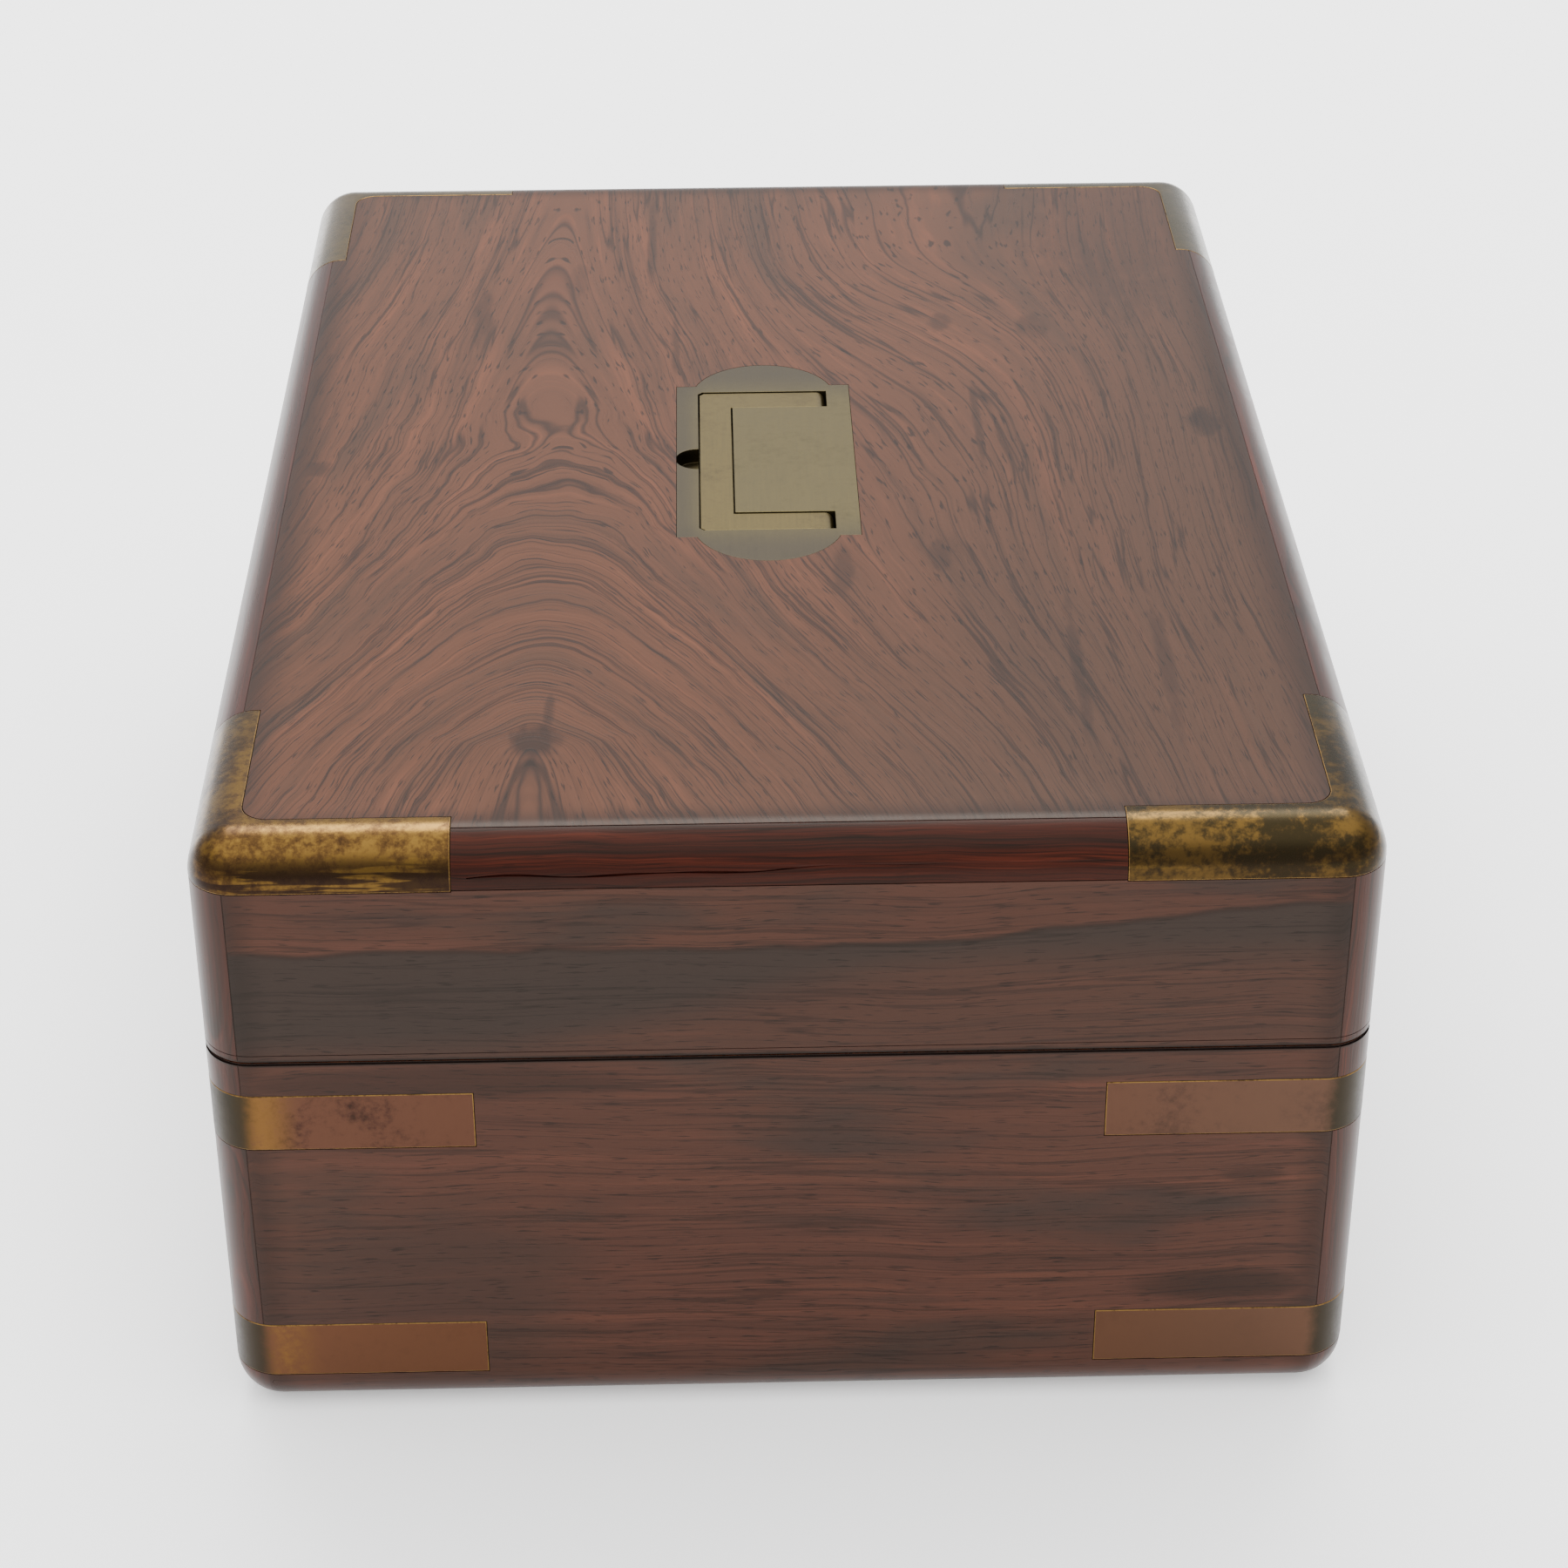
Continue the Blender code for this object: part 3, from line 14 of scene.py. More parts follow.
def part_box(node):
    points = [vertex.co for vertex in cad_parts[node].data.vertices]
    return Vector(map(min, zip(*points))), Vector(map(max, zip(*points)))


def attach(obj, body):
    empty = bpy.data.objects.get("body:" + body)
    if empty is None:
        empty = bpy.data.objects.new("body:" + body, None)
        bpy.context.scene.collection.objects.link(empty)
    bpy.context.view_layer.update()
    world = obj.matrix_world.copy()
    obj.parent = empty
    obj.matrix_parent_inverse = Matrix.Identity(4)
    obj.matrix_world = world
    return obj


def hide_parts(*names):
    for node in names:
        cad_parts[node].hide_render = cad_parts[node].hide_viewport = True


MM = 0.001
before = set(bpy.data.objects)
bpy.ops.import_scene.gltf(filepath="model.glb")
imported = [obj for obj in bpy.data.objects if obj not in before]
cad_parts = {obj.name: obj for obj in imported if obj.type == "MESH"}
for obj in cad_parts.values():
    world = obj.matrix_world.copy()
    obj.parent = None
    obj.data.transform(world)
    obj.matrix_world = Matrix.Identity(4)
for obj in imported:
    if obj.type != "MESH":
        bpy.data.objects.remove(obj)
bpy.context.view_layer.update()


def low_high(node):
    """A CAD node's box in millimetres."""
    low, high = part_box(node)
    return [value / MM for value in low], [value / MM for value in high]


# The box, from the frame.
WALL_LOW, WALL_HIGH = low_high("base_front_wall")
PANEL_LOW, PANEL_HIGH = low_high("lid_top_panel")
LID_LOW = low_high("lid_left_wall")[0]
FLOOR_HIGH = low_high("base_floor")[1]
WIDTH = 2 * WALL_HIGH[0]
DEPTH = 2 * WALL_HIGH[1]
HEIGHT = PANEL_HIGH[2]
BASE_TOP = WALL_HIGH[2]
LID_BOTTOM = LID_LOW[2]
PANEL_BOTTOM = PANEL_LOW[2]
FLOOR = FLOOR_HIGH[2]
WALL = WALL_HIGH[0] - WALL_LOW[0]
INNER_X = WIDTH / 2 - WALL
INNER_Y = DEPTH / 2 - WALL
ROUNDING = 9.6
ROUND_STEPS = 14
MOULDING = 7.2
MOULDING_FOOT = 127.6
GROOVE = 0.22
GROOVE_DEPTH = 0.5
RIM_BAND = 1.6
RIM_LINE = (0.15, 0.25)
LIP = 0.35
CRACK_FOOT = 129.7
CRACK_RISE = 2.4
CRACK_HALF = 62
CRACK_DEPTH = 0.8
PASS = 5.0  # how far a cutter runs past the surface it opens

PLACES = {
    "X": lambda u, v, w: (w * MM, u * MM, v * MM),
    "Y": lambda u, v, w: (u * MM, w * MM, v * MM),
    "Z": lambda u, v, w: (u * MM, v * MM, w * MM),
}

# ---------------------------------------------------------------- outlines


def polar(radius, angle, centre=(0.0, 0.0)):
    return (centre[0] + radius * cos(radians(angle)), centre[1] + radius * sin(radians(angle)))


def arc(centre, radius, start, end, steps):
    return [polar(radius, start + (end - start) * step / steps, centre) for step in range(steps + 1)]


def circle(radius, steps, centre=(0.0, 0.0)):
    return arc(centre, radius, 0, 360, steps)[:-1]


def on_side(side, first, second):
    """The span between two distances from the middle, lower end first. side is 1 or -1."""
    return sorted((side * first, side * second))


def ellipse(radii, steps, centre):
    return [(centre[0] + radii[0] * u, centre[1] + radii[1] * v) for u, v in circle(1.0, steps)]


def rectangle(low, high):
    return [(low[0], low[1]), (high[0], low[1]), (high[0], high[1]), (low[0], high[1])]


# ---------------------------------------------------------------- solids


def new_shape(fill):
    """An object whose mesh the function fill makes, with all faces pointing out."""
    build = bmesh.new()
    fill(build)
    bmesh.ops.recalc_face_normals(build, faces=build.faces)
    mesh = bpy.data.meshes.new("shape")
    build.to_mesh(mesh)
    build.free()
    shape = bpy.data.objects.new("shape", mesh)
    bpy.context.scene.collection.objects.link(shape)
    return shape


def prism(outline, low, high, holes=(), axis="Z"):
    """An outline, with holes in it, drawn out from low to high."""
    place = PLACES[axis]

    def fill(build):
        caps = []
        for height in (low, high):
            rings = []
            for line in [outline, *holes]:
                ring = [build.verts.new(place(u, v, height)) for u, v in line]
                edges = [build.edges.new((ring[i - 1], ring[i])) for i in range(len(ring))]
                rings.append((ring, edges))
            caps.append(rings)
        for lower, upper in zip(*caps):
            for i in range(len(lower[0])):
                build.faces.new((lower[0][i - 1], lower[0][i], upper[0][i], upper[0][i - 1]))
        for rings in caps:
            if holes:
                edges = [edge for _, line in rings for edge in line]
                bmesh.ops.triangle_fill(build, use_beauty=True, edges=edges)
            else:
                build.faces.new(rings[0][0])

    return new_shape(fill)


def block(x_range, y_range, z_range):
    return prism(rectangle((x_range[0], y_range[0]), (x_range[1], y_range[1])), *z_range)


def rod(radius, steps, low, high, axis="Z", centre=(0.0, 0.0)):
    return prism(circle(radius, steps, centre), low, high, axis=axis)


def turned(profile, steps=96, axis="Z"):
    """A solid of revolution. The (radius, height) profile is a loop, or it starts and ends at radius 0."""
    place = PLACES[axis]

    def ring(build, radius, height):
        if radius == 0:
            return [build.verts.new(place(0, 0, height))] * steps
        return [build.verts.new(place(u, v, height)) for u, v in circle(radius, steps)]

    def fill(build):
        rings = [ring(build, radius, height) for radius, height in profile]
        pairs = list(zip(rings, rings[1:]))
        if profile[0][0] > 0:
            pairs.append((rings[-1], rings[0]))
        for lower, upper in pairs:
            for i in range(steps):
                build.faces.new(dict.fromkeys((lower[i - 1], lower[i], upper[i], upper[i - 1])))

    return new_shape(fill)


def rounded_block(inset=0.0, steps=ROUND_STEPS):
    """The box's outside, drawn in by inset, with rounded edges and corners."""

    def fill(build):
        bmesh.ops.create_cube(build, size=1.0)
        for vertex in build.verts:
            vertex.co.x *= (WIDTH - 2 * inset) * MM
            vertex.co.y *= (DEPTH - 2 * inset) * MM
            vertex.co.z = (inset if vertex.co.z < 0 else HEIGHT - inset) * MM
        bmesh.ops.bevel(
            build,
            geom=build.edges[:],
            offset=(ROUNDING - inset) * MM,
            segments=steps,
            profile=0.5,
            affect="EDGES",
        )

    return new_shape(fill)


def combined(body, tool, operation):
    modifier = body.modifiers.new(operation, "BOOLEAN")
    modifier.operation = operation
    modifier.solver = "EXACT"
    modifier.object = tool
    bpy.context.view_layer.update()
    graph = bpy.context.evaluated_depsgraph_get()
    result = bpy.data.meshes.new_from_object(body.evaluated_get(graph))
    body.modifiers.clear()
    body.data = result
    bpy.data.objects.remove(tool)
    return body


def cut(body, *tools):
    for tool in tools:
        combined(body, tool, "DIFFERENCE")
    return body


def unite(body, *tools):
    for tool in tools:
        combined(body, tool, "UNION")
    return body


def common(body, tool):
    return combined(body, tool, "INTERSECT")


def joined(shapes):
    """One object from several that don't touch."""
    build = bmesh.new()
    for shape in shapes:
        build.from_mesh(shape.data)
        bpy.data.objects.remove(shape)
    mesh = bpy.data.meshes.new("shape")
    build.to_mesh(mesh)
    build.free()
    result = bpy.data.objects.new("shape", mesh)
    bpy.context.scene.collection.objects.link(result)
    return result


def piece(name, shape, look, body, nodes=(), bevel=0.0, angle=30.0, edge=None):
    """Names a finished shape, gives it its look, and makes it ride on a body in place of some CAD nodes.

    A shape that is painted already has None as its look. edge is the material of its bevels.
    """
    shape.name = name
    if look:
        shape.data.materials.clear()
        shape.data.materials.append(look)
    shape.data.shade_smooth()
    shape.data.set_sharp_from_angle(angle=radians(angle))
    if bevel:
        add_bevel(shape, bevel)
    if edge:
        shape.data.materials.append(edge)
        shape.modifiers["Edges"].material = 1
    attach(shape, body)
    if nodes:
        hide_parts(*nodes)


def add_bevel(shape, width):
    modifier = shape.modifiers.new("Edges", "BEVEL")
    modifier.width = width * MM
    modifier.segments = 3
    modifier.limit_method = "ANGLE"
    modifier.angle_limit = radians(35)
    modifier.harden_normals = True
    modifier.use_clamp_overlap = True


# ---------------------------------------------------------------- materials


def srgb(red, green, blue):
    """A display colour, 0 to 255, as linear light."""
    linear = []
    for channel in (red, green, blue):
        value = channel / 255
        linear.append(value / 12.92 if value <= 0.04045 else ((value + 0.055) / 1.055) ** 2.4)
    return (*linear, 1.0)


class Graph:
    """A material's node tree, with short calls for its usual nodes."""

    def __init__(self, name):
        self.material = bpy.data.materials.new(name)
        self.material.use_nodes = True
        self.tree = self.material.node_tree
        self.shader = self.tree.nodes["Principled BSDF"]

    def add(self, kind, inputs=(), **settings):
        node = self.tree.nodes.new(kind)
        for key, value in settings.items():
            setattr(node, key, value)
        for key, value in dict(inputs).items():
            self.put(node.inputs[key], value)
        return node

    def put(self, socket, value):
        if isinstance(value, bpy.types.NodeSocket):
            self.tree.links.new(value, socket)
        else:
            socket.default_value = value

    def math(self, operation, first, second=0.0, third=0.0):
        return self.add("ShaderNodeMath", {0: first, 1: second, 2: third}, operation=operation).outputs[0]

    def times(self, first, second, plus=None):
        if plus is None:
            return self.math("MULTIPLY", first, second)
        return self.math("MULTIPLY_ADD", first, second, plus)

    def minus(self, first, second):
        return self.math("SUBTRACT", first, second)

    def size(self, value):
        return self.math("ABSOLUTE", value)

    def xyz_mm(self):
        """The point in the row frame in millimetres, as three sockets."""
        place = self.add("ShaderNodeTexCoord").outputs["Object"]
        scaled = self.add("ShaderNodeVectorMath", {0: place, "Scale": 1000.0}, operation="SCALE")
        split = self.add("ShaderNodeSeparateXYZ", {0: scaled.outputs[0]})
        return split.outputs[0], split.outputs[1], split.outputs[2]

    def vector(self, x, y=0.0, z=0.0):
        return self.add("ShaderNodeCombineXYZ", {0: x, 1: y, 2: z}).outputs[0]

    def noise(self, vector, scale=1.0, detail=2.0, roughness=0.5, distortion=0.0):
        inputs = {
            "Vector": vector,
            "Scale": scale,
            "Detail": detail,
            "Roughness": roughness,
            "Distortion": distortion,
        }
        return self.add("ShaderNodeTexNoise", inputs).outputs["Fac"]

    def smooth(self, value, low, high, start=0.0, end=1.0):
        inputs = {"Value": value, "From Min": low, "From Max": high, "To Min": start, "To Max": end}
        return self.add("ShaderNodeMapRange", inputs, interpolation_type="SMOOTHSTEP").outputs[0]

    def mix(self, factor, first, second, mode="MIX"):
        node = self.add("ShaderNodeMix", data_type="RGBA", blend_type=mode)
        self.put(node.inputs[0], factor)
        self.put(node.inputs[6], first)
        self.put(node.inputs[7], second)
        return node.outputs[2]

    def bump(self, height, strength, distance_mm):
        inputs = {"Height": height, "Strength": strength, "Distance": distance_mm * MM}
        return self.add("ShaderNodeBump", inputs).outputs[0]

    def finish(self, **inputs):
        for key, value in inputs.items():
            self.put(self.shader.inputs[key.replace("_", " ")], value)
        return self.material


def wood_graph(name, figure, tones, contrast=1.0, pores=1.0, gloss=0.12):
    """Polished rosewood. tones are its dark, middle, light, pore and smoke colours.

    figure(graph, x, y, z) gives each place's ring height, its two coordinates along the grain, all in mm, and
    how smoky and how dark it is. On the top the smoke also holds a broad painted shade, and the darkness
    holds the painted shadow in the joint between the lid and the base.
    """
    graph = Graph(name)
    ring, along, across, smoke, shade = figure(graph, *graph.xyz_mm())
    dark, middle, light, pore_and_shade_colour, smoke_and_shade_colour = tones

    def layer(ring_scale, along_scale, seed, detail=2.0, roughness=0.55):
        vector = graph.vector(
            graph.times(ring, ring_scale),
            graph.times(along, along_scale),
            graph.times(across, along_scale, seed),
        )
        return graph.noise(vector, detail=detail, roughness=roughness)

    broad = layer(0.05, 0.004, 1.0)
    bands = layer(0.30, 0.006, 2.0, detail=3.0, roughness=0.6)
    fibre = layer(1.6, 0.03, 3.0, detail=3.0, roughness=0.7)
    lines = layer(0.33, 0.006, 4.0, detail=2.0, roughness=0.6)
    pore = layer(2.4, 0.16, 5.0, detail=1.0)

    tone = graph.times(broad, 0.25)
    tone = graph.times(bands, 0.40, tone)
    tone = graph.times(fibre, 0.35, tone)
    spread = 0.12 / contrast
    colour = graph.mix(graph.smooth(tone, 0.5 - spread, 0.5), dark, middle)
    colour = graph.mix(graph.smooth(tone, 0.5, 0.5 + spread), colour, light)
    line = graph.size(graph.minus(lines, 0.5))
    line = graph.smooth(line, 0.0, 0.028, 0.7 * contrast, 0.0)
    # On the top the smoke also holds a broad painted shade, painted in this colour.
    colour = graph.mix(smoke, colour, smoke_and_shade_colour)
    colour = graph.mix(line, colour, pore_and_shade_colour)
    pit = graph.smooth(pore, 0.30, 0.39, 0.8 * pores, 0.0)
    colour = graph.mix(pit, colour, pore_and_shade_colour)
    # The shade holds, among darker patches, the painted shadow in the joint between the lid and the base.
    colour = graph.mix(shade, colour, pore_and_shade_colour)

    height = graph.times(pit, -0.7, graph.times(fibre, 0.3))
    return graph.finish(
        Base_Color=colour,
        Roughness=graph.times(fibre, 0.2, 0.2),
        Normal=graph.bump(height, 0.2, 0.1),
        Specular_IOR_Level=gloss,
        Specular_Tint=LACQUER,
    )


def far_from_edge(graph, value, half):
    return graph.minus(half, graph.size(value))


def edge_shade(graph, value, half, reach, most):
    """Darker within reach of a face's edge, where the polish has gathered."""
    return graph.smooth(far_from_edge(graph, value, half), 0.0, reach, most, 0.0)


def darkest(graph, shades):
    result = shades[0]
    for shade in shades[1:]:
        result = graph.math("MAXIMUM", result, shade)
    return result


def smudge(graph, u, v, centre, half_sizes, most, ragged=None):
    """A soft dark patch."""
    du = graph.math("DIVIDE", graph.minus(u, centre[0]), half_sizes[0])
    dv = graph.math("DIVIDE", graph.minus(v, centre[1]), half_sizes[1])
    reach = graph.times(du, du, graph.times(dv, dv))
    if ragged is not None:
        reach = graph.times(ragged, 1.6, graph.minus(reach, 0.8))
    return graph.smooth(reach, 0.1, 1.0, most, 0.0)


KNOT = (-49.0, -124.0)
TOP_SMUDGES = (
    ((-49.0, -125.0), (6.5, 8.0), 0.75),
    ((-46.5, -113.0), (1.6, 8.0), 0.55),
    ((100.0, 13.0), (6.0, 9.0), 0.75),
    ((-103.0, -5.0), (6.0, 6.0), 0.65),
    ((-27.5, 120.0), (1.6, 34.0), 0.45),
    ((-21.5, 58.0), (1.3, 20.0), 0.5),
    ((47.5, 15.0), (1.4, 26.0), 0.55),
    ((42.0, 69.0), (3.5, 6.0), 0.5),
    ((64.0, 66.0), (5.0, 9.0), 0.4),
    ((60.0, -100.0), (1.8, 34.0), 0.5),
    ((78.0, -98.0), (2.2, 38.0), 0.4),
    ((14.0, -56.0), (3.0, 14.0), 0.4),
    ((35.0, -50.0), (3.0, 8.0), 0.4),
    ((88.0, 120.0), (26.0, 60.0), 0.35),
    ((-68.0, 75.0), (3.0, 20.0), 0.45),
    ((-45.0, 96.0), (3.0, 12.0), 0.35),
)


def top_figure(graph, x, y, z):
    """Arched growth rings round a knot near the left-hand end, straightening towards the far end."""
    slow = graph.noise(graph.vector(x, graph.times(y, 0.6)), scale=0.012, detail=0.0)
    wave = graph.noise(graph.vector(x, graph.times(y, 0.6), 3.0), scale=0.045, detail=1.0)
    ripple = graph.noise(graph.vector(x, graph.times(y, 0.8), 6.0), scale=0.13, detail=1.0)
    dx = graph.minus(x, KNOT[0])
    dx = graph.times(slow, 16.0, graph.minus(dx, 8.0))
    dy = graph.minus(y, KNOT[1])
    up = graph.math("MAXIMUM", dy, 0.0)
    risen = graph.minus(1.0, graph.math("EXPONENT", graph.math("DIVIDE", up, -90.0)))
    down = graph.math("MINIMUM", dy, 0.0)
    climb = graph.times(graph.times(risen, 90.0, down), 0.5)
    climb = graph.times(climb, graph.smooth(x, -10.0, 90.0, 1.0, 0.25))
    blunt = graph.times(climb, graph.smooth(y, -30.0, 110.0, 1.0, 0.25))
    narrow = graph.times(climb, graph.smooth(y, -30.0, 110.0, 1.0, 1.6))
    reach = graph.times(dx, dx, graph.times(blunt, blunt, 6.0))
    ring = graph.math("ADD", graph.math("SQRT", reach), narrow)
    beside = graph.smooth(graph.size(dx), 2.0, 30.0, 0.1, 1.0)
    arched = graph.times(graph.smooth(y, 0.0, 40.0, 1.0, 0.0), graph.smooth(y, -130.0, -118.0))
    calm = graph.times(graph.math("MAXIMUM", beside, arched), graph.smooth(y, 0.0, 60.0, 1.0, 0.5))
    lively = graph.times(graph.smooth(x, -60.0, 30.0, 5.5, 2.5), calm)
    ring = graph.times(wave, lively, ring)
    lively = graph.times(graph.smooth(x, -60.0, 30.0, 1.6, 0.6), calm)
    ring = graph.times(ripple, lively, ring)

    ragged = graph.noise(graph.vector(x, graph.times(y, 0.4)), scale=0.3, detail=3.0)
    smoke = graph.noise(graph.vector(graph.times(ring, 0.09), graph.times(y, 0.010)), detail=3.0)
    smoke = graph.smooth(smoke, 0.45, 0.75, 0.0, 0.8)
    # Painted shade: the top darkens towards the front with the lock and towards the left-hand end, where x is
    # large and y small; it is merged into the smoke.
    smoke = darkest(graph, [smoke, graph.smooth(graph.times(y, -0.35, x), -10.0, 110.0, 0.0, 0.75)])
    shades = [
        edge_shade(graph, x, WIDTH / 2 - MOULDING, 10.0, 0.75),
        edge_shade(graph, y, DEPTH / 2 - MOULDING, 8.0, 0.7),
    ]
    for centre, half_sizes, most in TOP_SMUDGES:
        shades.append(smudge(graph, x, y, centre, half_sizes, most, ragged))
    return ring, y, 0.0, smoke, darkest(graph, shades)


def end_figure(graph, x, y, z):
    """Level grain on the ends, with one broad dark band across the lid."""
    wave = graph.noise(graph.vector(graph.times(x, 0.012), graph.times(z, 0.02), y), detail=2.0)
    ring = graph.times(wave, 10.0, z)
    ripple = graph.noise(graph.vector(graph.times(x, 0.035), 0.0, 5.0), detail=2.0)
    level = graph.times(ripple, 5.0, graph.minus(z, 2.5))
    level = graph.minus(level, graph.smooth(x, 10.0, 105.0, 0.0, 8.0))
    band = graph.smooth(level, 112.6, 114.4, 1.0, 0.0)
    deep = graph.smooth(x, -70.0, 40.0, 84.0, 104.0)
    band = graph.times(band, graph.smooth(graph.minus(z, deep), 0.0, 12.0, 0.3, 1.0))
    band = graph.times(band, graph.smooth(z, 88.1, 88.2))
    cloud = graph.noise(graph.vector(graph.times(x, 0.016), y, graph.times(z, 0.07)), detail=4.0)
    smoke = darkest(graph, [
        graph.times(band, 0.95),
        graph.smooth(cloud, 0.46, 0.70, 0.0, 0.8),
        smudge(graph, x, z, (-75.0, 30.0), (40.0, 30.0), 0.5, cloud),
    ])
    brink = graph.size(graph.minus(level, 113.4))
    shades = [
        graph.smooth(brink, 0.0, 1.1, 0.55, 0.0),
        edge_shade(graph, x, WIDTH / 2 - MOULDING, 8.0, 0.5),
        smudge(graph, x, z, (88.0, 29.0), (22.0, 5.0), 0.6, cloud),
        smudge(graph, x, z, (-70.0, 82.5), (50.0, 5.0), 0.5, cloud),
        smudge(graph, x, z, (92.0, 57.0), (8.0, 2.0), 0.5, cloud),
        seam_shade(graph, z),
    ]
    return ring, x, y, smoke, darkest(graph, shades)


def side_figure(graph, x, y, z):
    """Level grain on the front and the back."""
    wave = graph.noise(graph.vector(graph.times(y, 0.01), graph.times(z, 0.02), x), detail=2.0)
    ring = graph.times(wave, 22.0, z)
    smoke = graph.noise(graph.vector(x, graph.times(y, 0.014), graph.times(z, 0.06)), detail=4.0)
    shades = [edge_shade(graph, y, DEPTH / 2 - MOULDING, 8.0, 0.5), seam_shade(graph, z)]
    return ring, y, x, graph.smooth(smoke, 0.46, 0.72, 0.0, 0.8), darkest(graph, shades)


def seam_shade(graph, z):
    """Painted shadow in the joint between the lid and the base."""
    away = graph.size(graph.minus(z, (BASE_TOP + LID_BOTTOM) / 2))
    return graph.smooth(away, 0.4, 1.2, 0.95, 0.0)


def moulding_figure(axis):
    def figure(graph, x, y, z):
        along = {"X": x, "Y": y, "Z": z}[axis]
        others = [value for key, value in (("X", x), ("Y", y), ("Z", z)) if key != axis]
        wave = graph.noise(graph.vector(graph.times(along, 0.02)), detail=2.0)
        ring = graph.times(wave, 8.0, graph.math("ADD", *others))
        smoke = graph.noise(graph.vector(graph.times(along, 0.03), *others), detail=2.0)
        return ring, along, others[0], graph.smooth(smoke, 0.45, 0.75, 0.0, 0.6), seam_shade(graph, z)

    return figure


def inside_figure(graph, x, y, z):
    wave = graph.noise(graph.vector(graph.times(x, 0.02), graph.times(y, 0.01)), detail=2.0)
    ring = graph.times(wave, 14.0, graph.times(x, 0.4, z))
    return ring, y, x, 0.0, 0.0


LACQUER = (1.0, 0.86, 0.72, 1.0)
TOP_TONES = (srgb(55, 34, 25), srgb(70, 42, 29), srgb(85, 49, 33), srgb(25, 17, 15), srgb(50, 34, 26))
FACE_TONES = (srgb(43, 27, 23), srgb(59, 36, 29), srgb(74, 44, 34), srgb(20, 15, 14), srgb(38, 31, 28))
RED_TONES = (srgb(28, 11, 8), srgb(44, 16, 11), srgb(62, 24, 15), srgb(14, 7, 6), srgb(24, 12, 10))
INSIDE_TONES = (srgb(62, 32, 21), srgb(88, 46, 29), srgb(110, 60, 37), srgb(40, 22, 16), srgb(50, 28, 20))


def make_woods():
    return {
        "top": wood_graph("rosewood_top", top_figure, TOP_TONES, gloss=0.12),
        "end": wood_graph("rosewood_end", end_figure, FACE_TONES, contrast=0.65, pores=0.8, gloss=0.12),
        "side": wood_graph("rosewood_side", side_figure, FACE_TONES, contrast=0.65, pores=0.8, gloss=0.12),
        "X": wood_graph("moulding_x", moulding_figure("X"), RED_TONES, pores=0.4, gloss=0.1),
        "Y": wood_graph("moulding_y", moulding_figure("Y"), RED_TONES, pores=0.4, gloss=0.2),
        "Z": wood_graph("moulding_z", moulding_figure("Z"), RED_TONES, pores=0.4, gloss=0.2),
        "inside": wood_graph("rosewood_inside", inside_figure, INSIDE_TONES, pores=0.5, gloss=0.25),
    }


def metal_graph(name, tones, spread=(0.42, 0.58), roughness=0.28, scale=0.06, brushed=None, stain=None):
    """Old metal: clean where it is rubbed, dull and dark in patches, with fine scratches.

    tones are its clean, dull and dark colours, and spread is where the noise changes from one to the next.
    stain(graph, x, y, z, mottle) gives more (amount, colour) layers.
    """
    graph = Graph(name)
    x, y, z = graph.xyz_mm()
    clean, dull, dark = tones
    low, high = spread
    place = graph.vector(x, y, z)
    broad = graph.noise(place, scale=scale, detail=4.0, roughness=0.6)
    fine = graph.noise(place, scale=scale * 9, detail=4.0, roughness=0.7)
    mottle = graph.times(fine, 0.45, graph.times(broad, 0.55))
    colour = graph.mix(graph.smooth(mottle, low, high), clean, dull)
    colour = graph.mix(graph.smooth(mottle, high - 0.06, high + 0.10, 0.0, 0.85), colour, dark)
    for amount, layer in stain(graph, x, y, z, mottle) if stain else ():
        colour = graph.mix(amount, colour, layer)
    stretch = {"X": (0.08, 4.0, 4.0), "Y": (4.0, 0.08, 4.0), None: (1.5, 1.5, 1.5)}[brushed]
    streak = graph.vector(*[graph.times(value, factor) for value, factor in zip((x, y, z), stretch)])
    scratch = graph.noise(streak, detail=3.0, roughness=0.6)
    rough = graph.times(scratch, 0.15, roughness - 0.2)
    return graph.finish(
        Base_Color=colour,
        Metallic=1.0,
        Roughness=graph.times(mottle, 0.35, rough),
        Normal=graph.bump(scratch, 0.12, 0.05),
    )


def strap_stain(graph, x, y, z, mottle):
    """Rubbed gold beside the left-hand corners, tarnish round the corners, and duller metal to the right."""
    across = graph.size(x)
    ragged = graph.times(mottle, 10.0, x)
    gold = graph.times(graph.smooth(ragged, -104.0, -101.0), graph.smooth(ragged, -98.0, -90.0, 1.0, 0.0))
    gold = graph.times(gold, graph.smooth(mottle, 0.40, 0.58, 0.1, 0.8))
    low = graph.smooth(z, 30.0, 60.0, 0.75, 0.0)
    corner = graph.smooth(graph.times(mottle, 6.0, across), 107.5, 111.5, 0.0, 0.9)
    beyond = graph.times(mottle, 12.0, graph.size(y))
    corner = graph.times(corner, graph.smooth(beyond, 146.0, 156.0))
    return (
        (low, srgb(84, 55, 38)),
        (graph.smooth(x, 20.0, 105.0, 0.0, 0.55), srgb(72, 56, 46)),
        (gold, srgb(100, 71, 36)),
        (corner, srgb(36, 33, 24)),
    )


